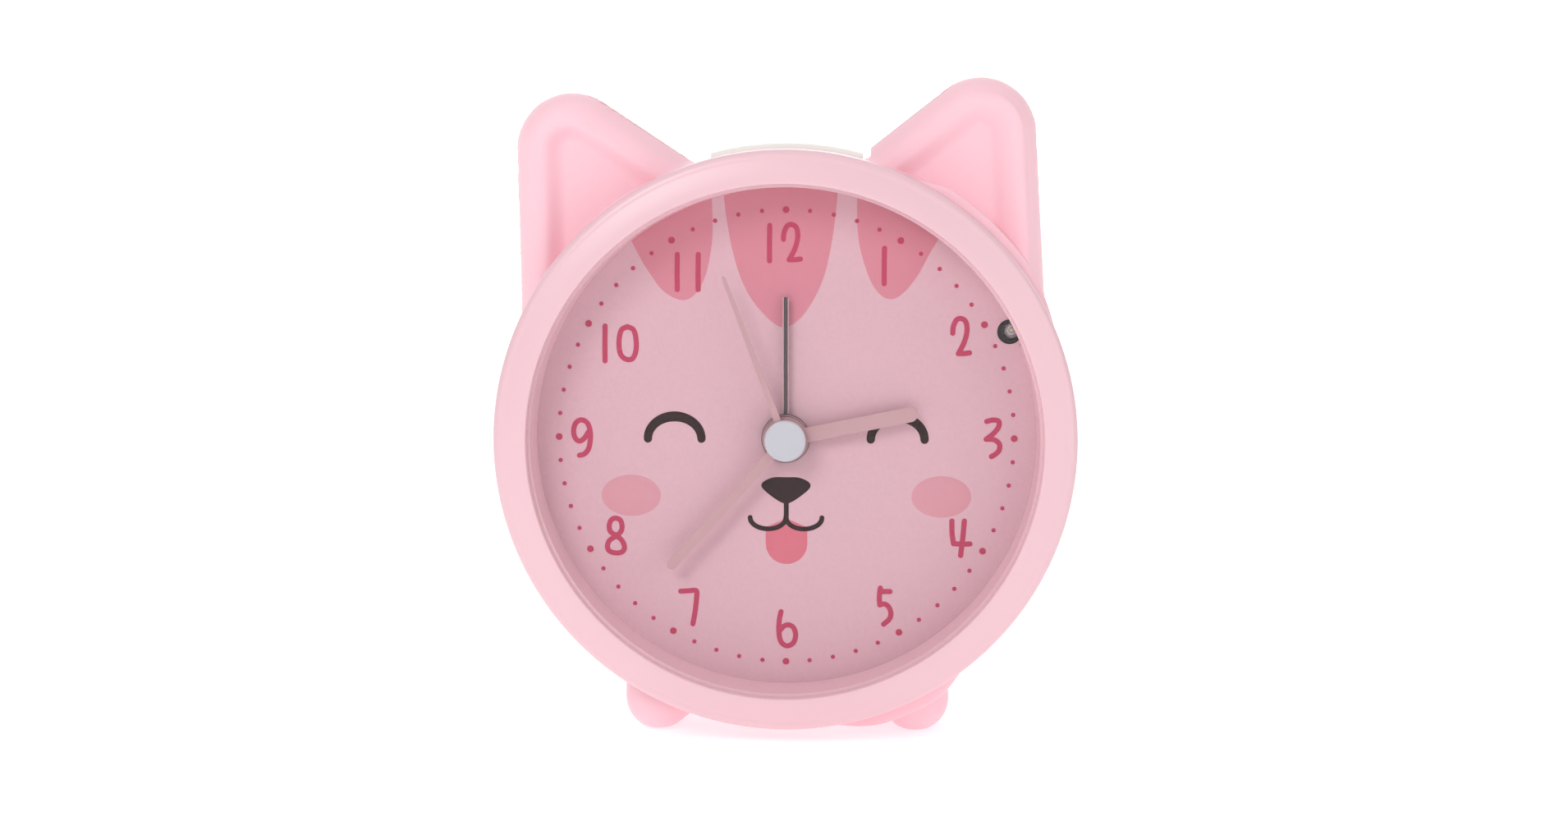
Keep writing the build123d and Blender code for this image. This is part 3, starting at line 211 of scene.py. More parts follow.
def moulded(name, colour, shade, roughness, grain_mm, grain_um, cloud_mm=14.0, **sockets):
    """A moulded or extruded surface.

    Its colour drifts between two hex values over clouds some millimetres wide, its gloss drifts with them, and a
    grain of the given width and height in micrometres gives the bump that a textured or sand-blasted mould leaves.
    """
    material, tree, shader, where = start_material(name)
    clouds = add(tree, "ShaderNodeTexNoise", {"Vector": where, "Scale": 1 / (cloud_mm * MM), "Detail": 3.0})
    colours = add(
        tree,
        "ShaderNodeMix",
        {"Factor": clouds.outputs["Fac"], "A": linear(colour), "B": linear(shade)},
        data_type="RGBA",
    )
    gloss = add(
        tree,
        "ShaderNodeMapRange",
        {"Value": clouds.outputs["Fac"], "To Min": roughness * 0.85, "To Max": min(1.0, roughness * 1.15)},
    )
    grain = add(tree, "ShaderNodeTexNoise", {"Vector": where, "Scale": 1 / (grain_mm * MM), "Detail": 2.0})
    bump = add(
        tree,
        "ShaderNodeBump",
        {"Height": grain.outputs["Fac"], "Strength": 1.0, "Distance": grain_um * 1e-6},
    )
    tree.links.new(colours.outputs["Result"], shader.inputs["Base Color"])
    tree.links.new(gloss.outputs["Result"], shader.inputs["Roughness"])
    tree.links.new(bump.outputs["Normal"], shader.inputs["Normal"])
    for key, value in sockets.items():
        shader.inputs[key.replace("_", " ")].default_value = value
    return material


# %% [markdown]
# ## Silicone, plastics and metals
#
# Liquid silicone rubber is soft, a little translucent and never mirror-like: light sinks in and blurs, so it gets
# subsurface scattering over about a millimetre. The hard parts are ABS: the same pink, but glossier and opaque.

# %% Materials
silicone = moulded(
    "silicone_soft_touch",
    "#FFD1DB",
    "#FFCBD6",
    roughness=0.52,
    grain_mm=0.45,
    grain_um=6,
    cloud_mm=22.0,
    IOR=1.41,
    Subsurface_Weight=0.25,
    Subsurface_Radius=(0.9, 0.4, 0.35),
    Subsurface_Scale=0.0018,
    Sheen_Weight=0.12,
    Sheen_Roughness=0.4,
)
bezel_abs = moulded(
    "abs_satin_bezel",
    "#EDC6CE",
    "#EAC1CA",
    roughness=0.34,
    grain_mm=0.4,
    grain_um=1.5,
    cloud_mm=30.0,
    IOR=1.53,
)
shell_abs = moulded(
    "abs_spark_eroded_shell",
    "#F2A9B5",
    "#EFA3B0",
    roughness=0.55,
    grain_mm=0.5,
    grain_um=14,
    IOR=1.53,
)
knob_abs = moulded("abs_white_knob", "#F1ECE9", "#E9E2DF", roughness=0.42, grain_mm=0.4, grain_um=3, IOR=1.53)
bar_plastic = moulded(
    "polypropylene_milky_bar",
    "#F4F1EC",
    "#EFEBE4",
    roughness=0.45,
    grain_mm=0.5,
    grain_um=4,
    IOR=1.49,
    Subsurface_Weight=0.3,
    Subsurface_Radius=(1.0, 0.95, 0.85),
    Subsurface_Scale=0.0015,
)
inner_plastic = moulded("polystyrene_natural", "#E6E1DA", "#DDD7CE", roughness=0.5, grain_mm=0.5, grain_um=5)
black_plastic = moulded("abs_black", "#17161A", "#1E1D22", roughness=0.4, grain_mm=0.4, grain_um=4)
movement_plastic = moulded("polystyrene_black", "#1B1A1E", "#232227", roughness=0.45, grain_mm=0.5, grain_um=6)
gear_plastic = moulded("acetal_white", "#F2F0E6", "#E9E6DA", roughness=0.38, grain_mm=0.4, grain_um=2)
hand_plastic = moulded(
    "styrene_pale_hand",
    "#C59DA2",
    "#C0989D",
    roughness=0.36,
    grain_mm=0.5,
    grain_um=2,
    cloud_mm=9.0,
    Subsurface_Weight=0.2,
    Subsurface_Radius=(0.6, 0.5, 0.5),
    Subsurface_Scale=0.0006,
)
alarm_ink = moulded("lacquered_steel_hand", "#4A3D42", "#54464B", roughness=0.3, grain_mm=0.3, grain_um=2)
cap_plastic = moulded("abs_glossy_cap", "#C4C4CC", "#BFBFC8", roughness=0.22, grain_mm=0.6, grain_um=1)
laminate = moulded("glass_epoxy_board", "#12502F", "#0E4226", roughness=0.35, grain_mm=0.6, grain_um=5)
red_pvc = moulded("pvc_red_insulation", "#B01226", "#A00E20", roughness=0.38, grain_mm=0.4, grain_um=3)
black_pvc = moulded("pvc_black_insulation", "#1C1A1D", "#141315", roughness=0.4, grain_mm=0.4, grain_um=3)
zinc = moulded("steel_zinc_plated", "#B9BCC2", "#A9ADB5", roughness=0.32, grain_mm=0.25, grain_um=4, Metallic=1.0)
tinned = moulded("steel_tinned", "#C9C9CB", "#BDBEC1", roughness=0.25, grain_mm=0.3, grain_um=2, Metallic=1.0)
iron = moulded("iron_stamped", "#8E8F93", "#7E8086", roughness=0.4, grain_mm=0.3, grain_um=5, Metallic=1.0)
magnet = moulded("ferrite_sintered", "#2A2A2D", "#222225", roughness=0.6, grain_mm=0.3, grain_um=10)
copper = moulded("copper_enamelled", "#B5613A", "#A5532E", roughness=0.3, grain_mm=0.3, grain_um=6, Metallic=1.0)
cell_wrap = moulded("pvc_shrink_wrap", "#3B4A57", "#33414D", roughness=0.28, grain_mm=0.8, grain_um=4)


def clear(name, tint, alpha, roughness, ior):
    """A clear moulding: mostly see-through, with the shine of its surface."""
    material, tree, shader, where = start_material(name)
    smudges = add(tree, "ShaderNodeTexNoise", {"Vector": where, "Scale": 1 / (9 * MM), "Detail": 4.0})
    gloss = add(
        tree,
        "ShaderNodeMapRange",
        {"Value": smudges.outputs["Fac"], "To Min": roughness * 0.5, "To Max": roughness * 1.5},
    )
    tree.links.new(gloss.outputs["Result"], shader.inputs["Roughness"])
    shader.inputs["Base Color"].default_value = linear(tint)
    shader.inputs["Alpha"].default_value = alpha
    shader.inputs["IOR"].default_value = ior
    return material


lens_acrylic = clear("acrylic_clear_lens", "#E9E4E6", 0.015, 0.06, 1.49)
led_epoxy = clear("epoxy_clear_light", "#F1E9EA", 0.28, 0.05, 1.54)

# %% [markdown]
# ## The print on the dial
#
# The card is coated board, printed in flat inks. Ink has no thickness worth speaking of, but thin geometry keeps its
# edges crisp from any distance and survives any export, so each mark stands a few hundredths of a millimetre proud.
# Overlapping marks are stacked in printing order.

# %% Dial card and inks
card = moulded(
    "coated_board_dial",
    "#DEB7C0",
    "#D0A6B2",
    roughness=0.55,
    grain_mm=0.35,
    grain_um=9,
    cloud_mm=0.5,
    Specular_IOR_Level=0.25,
)


def ink(name, colour, shade):
    """Offset ink on coated board: flat colour, slightly mottled where the board drinks it."""
    return moulded(name, colour, shade, roughness=0.6, grain_mm=0.35, grain_um=5, cloud_mm=1.2, Specular_IOR_Level=0.2)


crimson_ink = ink("ink_crimson", "#BF4566", "#B63D5D")
lobe_ink = ink("ink_rose_lobe", "#D58A99", "#CF8191")
cheek_ink = ink("ink_rose_cheek", "#D89DA8", "#D2929F")
tongue_ink = ink("ink_rose_tongue", "#D87787", "#D16D7E")
brown_ink = ink("ink_dark_brown", "#2E181B", "#291517")

# %% [markdown]
# A smooth path through a few points is a Catmull-Rom spline: between two points the curve is the cubic whose ends
# point from the neighbour before to the neighbour after. A ribbon follows the path with a half circle at each end.


# %% Paths, ribbons and patches
def smooth_path(points, closed=False, steps=12):
    """Catmull-Rom curve through points (n, 2): an array of places a small step apart."""
    p = np.asarray(points, float)
    if closed:
        before, start, end, after = np.roll(p, 1, 0), p, np.roll(p, -1, 0), np.roll(p, -2, 0)
    else:
        ends = np.concatenate([2 * p[:1] - p[1:2], p, 2 * p[-1:] - p[-2:-1]])
        before, start, end, after = ends[:-3], ends[1:-2], ends[2:-1], ends[3:]
    t = np.linspace(0, 1, steps, endpoint=False)[None, :, None]
    before, start, end, after = (q[:, None, :] for q in (before, start, end, after))
    curve = 0.5 * (
        2 * start
        + (end - before) * t
        + (2 * before - 5 * start + 4 * end - after) * t**2
        + (3 * start - before - 3 * end + after) * t**3
    )
    curve = curve.reshape(-1, 2)
    return curve if closed else np.concatenate([curve, p[-1:]])


UNDER = -0.02
CLIMB = 0.008


def ribbon(path, width, height, end_width=None, floor=UNDER):
    """A grid for a stroke of ink: cross-sections of the given width along the path, with round ends.

    Its sides go down to the floor, which is just inside the card for ink.

    The half width is r along the path, and sqrt(r^2 - s^2) over the last r beyond each end, where s is the way past
    the end. A cross-section is a flat-topped loop from the card up to the height and back, and the height climbs a
    few thousandths of a millimetre on the way, so that a stroke that crosses itself lies on itself.
    """
    path = np.asarray(path, float)
    step = np.diff(path, axis=0)
    length = np.concatenate([[0], np.cumsum(np.hypot(*step.T))])
    ends = (end_width or width) / 2
    radius = np.interp(length, [0, length[-1] / 2, length[-1]], [ends, width / 2, ends])
    ahead = np.gradient(path, axis=0)
    ahead /= np.hypot(*ahead.T)[:, None]
    cap = np.sin(np.linspace(0, math.pi / 2, 8))[1:]
    first = path[0] - ahead[0] * (cap[::-1, None] * radius[0])
    last = path[-1] + ahead[-1] * (cap[:, None] * radius[-1])
    taper = np.sqrt(1 - cap**2)
    path = np.concatenate([first, path, last])
    ahead = np.concatenate([np.repeat(ahead[:1], 7, 0), ahead, np.repeat(ahead[-1:], 7, 0)])
    half = np.concatenate([radius[0] * taper[::-1], radius, radius[-1] * taper])
    side = np.stack([-ahead[:, 1], ahead[:, 0]], axis=-1)
    across = np.array([-1.0, -0.96, 0.96, 1.0])
    top = height + CLIMB * np.linspace(0, 1, len(path))[:, None]
    rise = np.where(np.abs(across) < 1, top, floor)
    x, z = (path[:, None, k] + side[:, None, k] * half[:, None] * across for k in (0, 1))
    return place(x, z, DIAL_DEPTH - rise)


def patch(outline, height):
    """A grid for a filled outline: rings shrinking from the outline to its middle, on top and then underneath."""
    outline = np.asarray(outline, float)
    middle = outline.mean(0)
    share = np.array([0.0, 0.5, 0.98, 1.0, 0.5, 0.0])
    rise = np.array([height, height, height, UNDER, UNDER, UNDER])
    ring = middle + share[:, None, None] * (outline - middle)
    return place(ring[..., 0], ring[..., 1], DIAL_DEPTH - rise[:, None])


def ellipse(centre, half_width, half_height, start=0.0, end=360.0, steps=48):
    """Points round an ellipse, from one angle to another."""
    a = np.radians(np.linspace(start, end, steps, endpoint=end - start < 360))
    return np.stack([centre[0] + half_width * np.cos(a), centre[1] + half_height * np.sin(a)], axis=-1)


# %% [markdown]
# ### Numbers
#
# The numbers are drawn as if with a round felt pen, 8 mm high, so each digit is one or two strokes through a few
# points about its own middle.

# %% Numbers
PEN = 1.07
DIGITS = {
    "0": [
        [
            (0, 3.4), (1.25, 2.7), (1.75, 0.6), (1.65, -1.6), (0.9, -3.1), (-0.5, -3.1), (-1.5, -1.9), (-1.7, 0.6),
            (-1.2, 2.7), (0, 3.4),
        ],
    ],
    "1": [[(0.05, 3.5), (0.0, 0.0), (0.0, -3.5)]],
    "2": [
        [
            (-1.65, 0.8), (-1.55, 2.1), (-0.95, 3.4), (-0.1, 3.75), (0.85, 3.2), (1.2, 1.8), (1.0, 0.1), (0.4, -1.6),
            (-0.5, -3.3),
        ],
        [(-0.5, -3.3), (0.5, -3.3), (1.7, -3.15)],
    ],
    "3": [
        [(-1.3, 3.4), (0.0, 3.7), (1.1, 3.4), (1.05, 2.3), (0.1, 1.0), (-1.4, -0.2)],
        [(-1.4, -0.2), (0.2, -0.3), (1.25, -1.2), (1.2, -2.4), (0.5, -3.2), (-0.3, -3.7)],
    ],
    "4": [
        [(-1.75, 3.5), (-1.7, 1.0), (-1.4, -1.1)],
        [(-1.4, -1.1), (0.2, -1.2), (1.9, -1.15)],
        [(0.75, 3.5), (0.45, 0.0), (0.05, -3.5)],
    ],
    "5": [
        [(-0.9, 3.7), (-1.05, 2.6), (-1.1, 1.4), (-1.0, 0.25)],
        [(-1.0, 0.25), (-0.1, 0.45), (0.8, -0.15), (1.25, -1.5), (0.9, -2.7), (-0.2, -3.7)],
        [(-0.9, 2.95), (0.0, 3.0), (1.05, 3.0)],
    ],
    "6": [
        [
            (-1.25, 3.5), (-1.6, 1.8), (-1.7, -0.5), (-1.35, -2.5), (-0.5, -3.4), (0.4, -3.45), (1.3, -2.8),
            (1.7, -1.3), (1.3, 0.2), (0.3, 0.8), (-0.7, 0.5), (-1.5, -0.4),
        ],
    ],
    "7": [[(-1.7, 3.3), (0.0, 3.4), (1.2, 3.5), (1.55, 3.2), (1.55, 2.4), (1.25, -0.5), (0.75, -3.4)]],
    "8": [
        [
            (0.0, 0.1), (-1.1, 0.9), (-1.3, 2.2), (-0.8, 3.3), (0.1, 3.6), (1.0, 3.1), (1.3, 1.9), (1.0, 0.8),
            (0.0, -0.1), (-1.3, -1.0), (-1.7, -2.3), (-1.2, -3.2), (0.2, -3.55), (1.4, -3.2), (1.75, -2.2),
            (1.2, -0.9), (0.0, 0.1),
        ],
    ],
    "9": [
        [
            (1.35, 1.2), (0.5, -0.1), (-0.55, -0.7), (-1.45, 0.1), (-1.65, 1.7), (-1.1, 3.1), (0.0, 3.6), (1.1, 3.0),
            (1.65, 1.5), (1.7, -0.35), (1.35, -2.2), (0.5, -3.3), (-0.5, -3.6),
        ],
    ],
}
NUMBERS = [
    ("1", -3.3, 39.1), ("2", 1.15, 39.1),
    ("1", 19.6, 34.6), ("2", 35.0, 20.4), ("3", 41.6, 0.05), ("4", 35.2, -20.3), ("5", 20.0, -34.3),
    ("6", 0.25, -39.1), ("7", -19.65, -34.8), ("8", -34.5, -20.2), ("9", -41.2, -0.2),
    ("1", -36.4, 18.9), ("0", -31.85, 18.9),
    ("1", -21.8, 33.3), ("1", -17.6, 33.3),
]
INK_BASE = 0.03
INK_TOP = 0.05
strokes = []
for digit, x, z in NUMBERS:
    for order, stroke in enumerate(DIGITS[digit]):
        strokes.append(ribbon(smooth_path(np.array(stroke) + (x, z), steps=6), PEN, INK_TOP + 1.2 * CLIMB * order))
fit_out(skin("print_numbers", strokes, join_columns=True), "case", crimson_ink)

# %% Minute track
MINUTE_RADIUS = 45.8
dots = []
for minute in range(60):
    angle = math.radians(90 - 6 * minute)
    size = 0.7 if minute % 5 == 0 else 0.45
    centre = (MINUTE_RADIUS * math.cos(angle), MINUTE_RADIUS * math.sin(angle))
    dots.append(patch(ellipse(centre, size, size, steps=20), INK_TOP))
fit_out(skin("print_minute_dots", dots), "case", crimson_ink)

# %% [markdown]
# ### The sleeping cat
#
# The forehead has three rounded stripes that run up under the bezel, and the face is a few simple marks: two arched
# eyes, a nose, a mouth of two hanging curves, a tongue and two cheeks.

# %% Stripes
RIM = 52.3


def under_rim(lower_edge):
    """Closes a stripe with an arc under the rim, from the end of its lower edge back to its start."""
    start, end = (math.atan2(point[1], point[0]) for point in (lower_edge[-1], lower_edge[0]))
    a = np.linspace(start, end, 24)
    return np.concatenate([lower_edge, np.stack([RIM * np.cos(a), RIM * np.sin(a)], axis=-1)])


middle_right = [(10.4, 49.5), (9.9, 44.3), (9.0, 38.2), (7.7, 32.6), (5.6, 27.8), (3.1, 24.2), (0.9, 22.5)]
middle_right += [(-0.4, 22.2)]
middle_left = [(-1.7, 22.5), (-4.0, 24.3), (-7.0, 27.9), (-9.3, 32.6), (-10.9, 38.2), (-12.0, 44.3), (-12.6, 49.5)]
right_edge = [(14.1, 49.8), (14.2, 41.8), (15.1, 36.7), (16.8, 31.7), (18.8, 28.8), (21.0, 27.9), (23.4, 29.1)]
right_edge += [(26.4, 32.8), (28.8, 37.3), (31.3, 41.3)]
left_edge = [(-31.9, 41.3), (-29.4, 36.4), (-27.3, 32.9), (-24.6, 29.4), (-21.0, 27.6), (-18.3, 28.7), (-16.2, 32.2)]
left_edge += [(-15.0, 37.4), (-14.6, 42.3), (-14.8, 49.8)]
stripe_edges = (middle_right + middle_left, right_edge, left_edge)
stripes = [patch(under_rim(smooth_path(edge)), INK_BASE) for edge in stripe_edges]
fit_out(skin("print_stripes", stripes), "case", lobe_ink)

# %% Face
cheeks = [patch(ellipse((side * 31.3, -11.9), 6.05, 4.25), INK_BASE) for side in (-1, 1)]
fit_out(skin("print_cheeks", cheeks), "case", cheek_ink)

tongue = np.concatenate([ellipse((0.1, -21.5), 4.25, 4.3, 180, 360, 30), [(4.35, -18.2), (0.1, -16.4), (-4.15, -18.2)]])
fit_out(skin("print_tongue", [patch(tongue, INK_BASE)]), "case", tongue_ink)

nose = smooth_path(
    [(0.0, -8.05), (2.6, -8.1), (4.6, -9.0), (4.9, -10.1), (3.4, -11.6), (1.2, -13.1), (0.0, -13.4)]
    + [(-1.2, -13.1), (-3.4, -11.6), (-4.9, -10.1), (-4.6, -9.0), (-2.6, -8.1)],
    closed=True,
)
face = [patch(nose, INK_TOP)]
for side in (-1, 1):
    face.append(ribbon(ellipse((side * 22.45, -0.3), 5.4, 4.5, 0, 180, 40), 2.1, INK_TOP, end_width=1.7))
    face.append(ribbon(ellipse((side * 3.65, -16.3), 3.6, 2.3, 180, 360, 30), 1.0, INK_TOP))
face.append(ribbon([(0.05, -13.0), (0.05, -14.6), (0.05, -16.3)], 1.0, INK_TOP + 0.01))
fit_out(skin("print_face", face), "case", brown_ink)

# %% [markdown]
# ## Bezel
#
# The bezel is moulded ABS. Its section has a small bright lip next to the lens, a face that falls gently outwards and
# a full round edge. Carrying that section round the axis is all it needs, except at the light, where the inner wall
# steps back so that the bulb has room: there the wall's radius is where a ray from the axis leaves the notch circle.

# %% Bezel
lens_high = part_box("lens")[1]
LENS_RADIUS = node_radius("lens")
LENS_BACK = (lens_high.y - LIP_Y) / MM
SKIRT_END = (bezel_high.y - LIP_Y) / MM - 2.0
led_low, led_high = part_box("led")
LED_X = (led_low.x + led_high.x) / 2 / MM
LED_Z = ((led_low.z + led_high.z) / 2 - AXIS_Z) / MM
LED_ANGLE = math.atan2(LED_Z, LED_X)
HOLE_RADIUS = 49.6
NOTCH = 3.2
NOTCH_START = 3.0


def arc(centre, radius, start, end, steps):
    """Points (radius, depth) on a circular arc of a section, angles in degrees from outwards towards backwards."""
    a = np.radians(np.linspace(start, end, steps))
    return np.stack([centre[0] + radius * np.cos(a), centre[1] + radius * np.sin(a)], axis=-1)


wall_top = LENS_RADIUS + 0.1 - 0.6
wall_end = wall_top - 0.35
lip_round = 0.32
edge_round = 1.8
lip_middle = LENS_RADIUS + 0.16 + lip_round
crown_edge = BEZEL_RADIUS - edge_round
crown = np.linspace(0, 1, 16)[1:-1, None]
section = np.concatenate(
    [
        arc((lip_middle, lip_round), lip_round, 180, 285, 10),
        np.concatenate([lip_middle + (crown_edge - lip_middle) * crown, 1.1 * crown**1.6], axis=1),
        arc((crown_edge, 1.1 + edge_round), edge_round, -90, 0, 16),
        [(BEZEL_RADIUS, 6.0), (BEZEL_RADIUS, SKIRT_END - 0.25)],
        arc((BEZEL_RADIUS - 0.25, SKIRT_END - 0.25), 0.25, 10, 90, 5),
        [(BEZEL_RADIUS - 2.2, SKIRT_END), (BEZEL_RADIUS - 2.3, SKIRT_END - 0.1), (BEZEL_RADIUS - 2.3, 3.3)],
        [(wall_end + 1.8, 3.3), (wall_end + 1.6, 3.5), (wall_end + 1.6, DIAL_DEPTH - 0.03)],
        [(wall_end, DIAL_DEPTH - 0.03), (wall_end, DIAL_DEPTH - 0.1)],
        np.stack([np.linspace(wall_end, wall_top, 8), np.linspace(DIAL_DEPTH - 0.2, NOTCH_START, 8)], axis=-1),
        [(wall_top, NOTCH_START), (wall_top, LENS_BACK + 0.02), (LENS_RADIUS + 0.1, LENS_BACK + 0.02)],
        [(LENS_RADIUS + 0.12, lip_round + 0.2)],
    ]
)
turn = np.linspace(0, 2 * math.pi, 720, endpoint=False)
off = turn - LED_ANGLE
chord = NOTCH**2 - (HOLE_RADIUS * np.sin(off)) ** 2
notch_wall = np.where((chord > 0) & (np.cos(off) > 0), HOLE_RADIUS * np.cos(off) + np.sqrt(np.maximum(chord, 0)), 0)
section_radius, section_depth = section[:, :1], section[:, 1:]
behind_notch = (section_depth > NOTCH_START + 0.01) & (section_radius < wall_end + 1.7)
wall_radius = np.where(behind_notch, np.maximum(section_radius, notch_wall), section_radius)
bezel = skin("bezel_ring", [round_axis(wall_radius, turn, section_depth)], join_rows=True, crease=50)
fit_out(bezel, "case", bezel_abs, ["bezel"])

# %% [markdown]
# ## The silicone sleeve
#
# The sleeve is one moulding of soft silicone: a ring round the case, two ears, two feet and a flange that turns onto
# the back. Seen from the front, its outline is a circle with two bumps. A ray from the hand axis leaves the outline
# once, so a single grid describes the whole skin: one way round the axis, the other way along the wrap of the wall
# from the front lip over the outside to the flange and back inside. At an ear, the wrap climbs a front face, turns
# over a rounded crest and comes down the back.

# %% Outline of the ears
CASE_RADIUS = 57.4
EAR_TIP = (41.1, 59.4)
EAR_ROUND = 11.2
EAR_OUTER_NORMAL = math.radians(1.3)
EAR_INNER_NORMAL = math.radians(125.8)
EAR_LEAN = math.radians(2.2)


def soft_max(a, b, blend):
    """The greater of two values, with a rounded change-over: half of (a + b + sqrt((a - b)^2 + blend^2))."""
    return 0.5 * (a + b + np.sqrt((a - b) ** 2 + blend**2))


def ear_radius(angle):
    """How far out a ray at an angle leaves the ear, or 0 where it misses it.

    The ear is the area between two straight sides, each tangent to the tip's circle. A ray meets a side with normal
    angle n and distance d from the axis at d / cos(angle - n), and leaves the circle with centre distance c at angle
    b at c cos(angle - b) + sqrt(r^2 - c^2 sin^2(angle - b)). The nearer crossing wins.
    """
    middle = math.atan2(EAR_TIP[1], EAR_TIP[0])
    reach = math.hypot(*EAR_TIP)
    best = np.full(angle.shape, np.inf)
    for normal in (EAR_OUTER_NORMAL, EAR_INNER_NORMAL):
        level = EAR_TIP[0] * math.cos(normal) + EAR_TIP[1] * math.sin(normal) + EAR_ROUND
        slope = np.cos(angle - normal)
        cut = np.where(slope > 0.02, level / np.maximum(slope, 0.02), np.inf)
        best = np.minimum(best, cut)
    chord = EAR_ROUND**2 - (reach * np.sin(angle - middle)) ** 2
    circle = reach * np.cos(angle - middle) + np.sqrt(np.maximum(chord, 0))
    touch_outer = math.atan2(
        EAR_TIP[1] + EAR_ROUND * math.sin(EAR_OUTER_NORMAL), EAR_TIP[0] + EAR_ROUND * math.cos(EAR_OUTER_NORMAL)
    )
    touch_inner = math.atan2(
        EAR_TIP[1] + EAR_ROUND * math.sin(EAR_INNER_NORMAL), EAR_TIP[0] + EAR_ROUND * math.cos(EAR_INNER_NORMAL)
    )
    on_tip = (angle > touch_outer) & (angle < touch_inner) & (chord > 0)
    result = np.where(on_tip, circle, best)
    return np.where(np.isfinite(result) & (np.cos(angle - middle) > 0.4), result, 0.0)


def ear_outline(angle):
    """The radius of both ears' outline at angles from +x, the left ear being the right one mirrored, both leaning."""
    turned = angle - EAR_LEAN
    turned = (turned + math.pi) % (2 * math.pi) - math.pi
    return np.maximum(ear_radius(turned), ear_radius(math.pi - turned))


# %% [markdown]
# Grid columns are packed closer where the outline runs steeply outwards, at the sides of the ears, so that each quad
# covers about the same length of skin.

# %% Columns round the axis
fine = np.linspace(-math.pi / 2, 1.5 * math.pi, 20001)
ears = soft_max(np.full(fine.shape, CASE_RADIUS), ear_outline(fine), 0.8) - 0.16
run = np.hypot(np.diff(fine) * CASE_RADIUS, 1.0 * np.diff(ears))
run = np.concatenate([[0], np.cumsum(run)])
COLUMNS = 900
theta = np.interp(np.linspace(0, run[-1], COLUMNS, endpoint=False), run, fine)
outline_radius = np.interp(theta, fine, ears)
outline = np.stack([outline_radius * np.cos(theta), outline_radius * np.sin(theta)], axis=-1)
fine_outline = np.stack([ears * np.cos(fine), ears * np.sin(fine)], axis=-1)[::8]
ear_excess = np.clip(outline_radius - CASE_RADIUS, 0, None)
print(f"ears reach {ears.max():.1f} mm from the hand axis")

# %% [markdown]
# ### Thickness of an ear
#
# An ear is a soft pillow: about 14 mm thick in the middle, rounded off towards its outline like a pebble. Its front
# face is dished, with a broad rim left standing all round. Both come from one number, the distance in from the
# outline: the pillow's half thickness grows with that distance like a quarter circle, and the dish starts where the
# distance passes the rim's width.

# %% Pillow and dish
EAR_MIDDLE = 18.5
EAR_HALF = 7.0
EAR_SOFTNESS = 5.6
LIP_DEPTH = 9.1
REAR_DEPTH = 37.4
REAR_ROUND = 4.0
DISH_DEPTH = 2.4
DISH_RIM = 5.8
DISH_SOFT = 3.8


def inside_distance(x, z):
    """Distance from points to the ears' outline, found against the finely sampled outline itself."""
    flat = np.stack([x.ravel(), z.ravel()], axis=-1)
    near = np.full(len(flat), np.inf)
    for chunk in np.array_split(fine_outline, 25):
        gap = np.hypot(flat[:, None, 0] - chunk[None, :, 0], flat[:, None, 1] - chunk[None, :, 1])
        near = np.minimum(near, gap.min(axis=1))
    return near.reshape(x.shape)


def quarter_round(share):
    """Height of a quarter circle of radius 1 at a share of its width: sqrt(1 - (1 - share)^2)."""
    share = np.clip(share, 0, 1)
    return np.sqrt(1 - (1 - share) ** 2)


def step_up(value, start, width):
    """0 before start, 1 after start + width, with a smooth S between."""
    t = np.clip((value - start) / width, 0, 1)
    return t * t * (3 - 2 * t)


def dish(deep):
    """Depth of the dish in an ear's front, from the distance in from the outline: level once past the rim."""
    return DISH_DEPTH * step_up(deep, DISH_RIM, DISH_SOFT)


# %% Sleeve wall
EAR_ROWS = 34
share_up = 1 - (1 - np.linspace(0, 1, EAR_ROWS + 1)) ** 1.7
share_up = share_up[1:, None]


def flare(angle, depth):
    """How much the front lip stands off the case, where the soft wall isn't held tight: two places on the right."""
    degrees = np.degrees((angle + math.pi) % (2 * math.pi) - math.pi)
    upper = step_up(degrees, 14, 24) * (1 - step_up(degrees, 56, 10))
    lower = step_up(degrees, -90, 20) * (1 - step_up(degrees, -62, 16))
    tight = 1 - step_up(depth, LIP_DEPTH + 1.4, 2.6 + 5 * lower)
    return (2.3 * upper + 4.2 * lower) * tight


def wall(radius, depth, loose=1.0):
    """A row of the sleeve at one radius and one depth all round, taking a share of the flare."""
    around = np.broadcast_to(theta, (1, COLUMNS))
    return round_axis(radius + loose * flare(around, depth), around, depth)


rows = []
inner = CASE_RADIUS - 1.7
lip = 0.75
for a in np.radians(np.linspace(180, 0, 9)):
    rows.append(wall(inner + 0.85 + 0.85 * math.cos(a), LIP_DEPTH + lip - lip * math.sin(a), (1 + math.cos(a)) / 2))
for depth in (10.3, 10.9):
    rows.append(wall(CASE_RADIUS, depth))

radius_up = CASE_RADIUS + (outline_radius - CASE_RADIUS)[None, :] * share_up
x_up, z_up = radius_up * np.cos(theta), radius_up * np.sin(theta)
deep = inside_distance(x_up, z_up)
pillow = EAR_HALF * soft_max(quarter_round(deep / EAR_SOFTNESS), 1 - share_up, 0.02)
root = np.exp(-(radius_up - CASE_RADIUS) / 1.1) * np.clip(ear_excess / 4, 0, 1) * (1 - step_up(deep, 4, 3))
front = EAR_MIDDLE - pillow - 0.9 * root + dish(deep)
back = EAR_MIDDLE + pillow + 0.9 * root
flat_share = np.clip(ear_excess / 0.8, 0, 1)
plain_front = EAR_MIDDLE - EAR_HALF * (1 - share_up)
plain_back = EAR_MIDDLE + EAR_HALF * (1 - share_up)
front = plain_front + (front - plain_front) * flat_share
back = plain_back + (back - plain_back) * flat_share
around_up = np.broadcast_to(theta, radius_up.shape)
rows.append(round_axis(radius_up + flare(around_up, front), around_up, front))
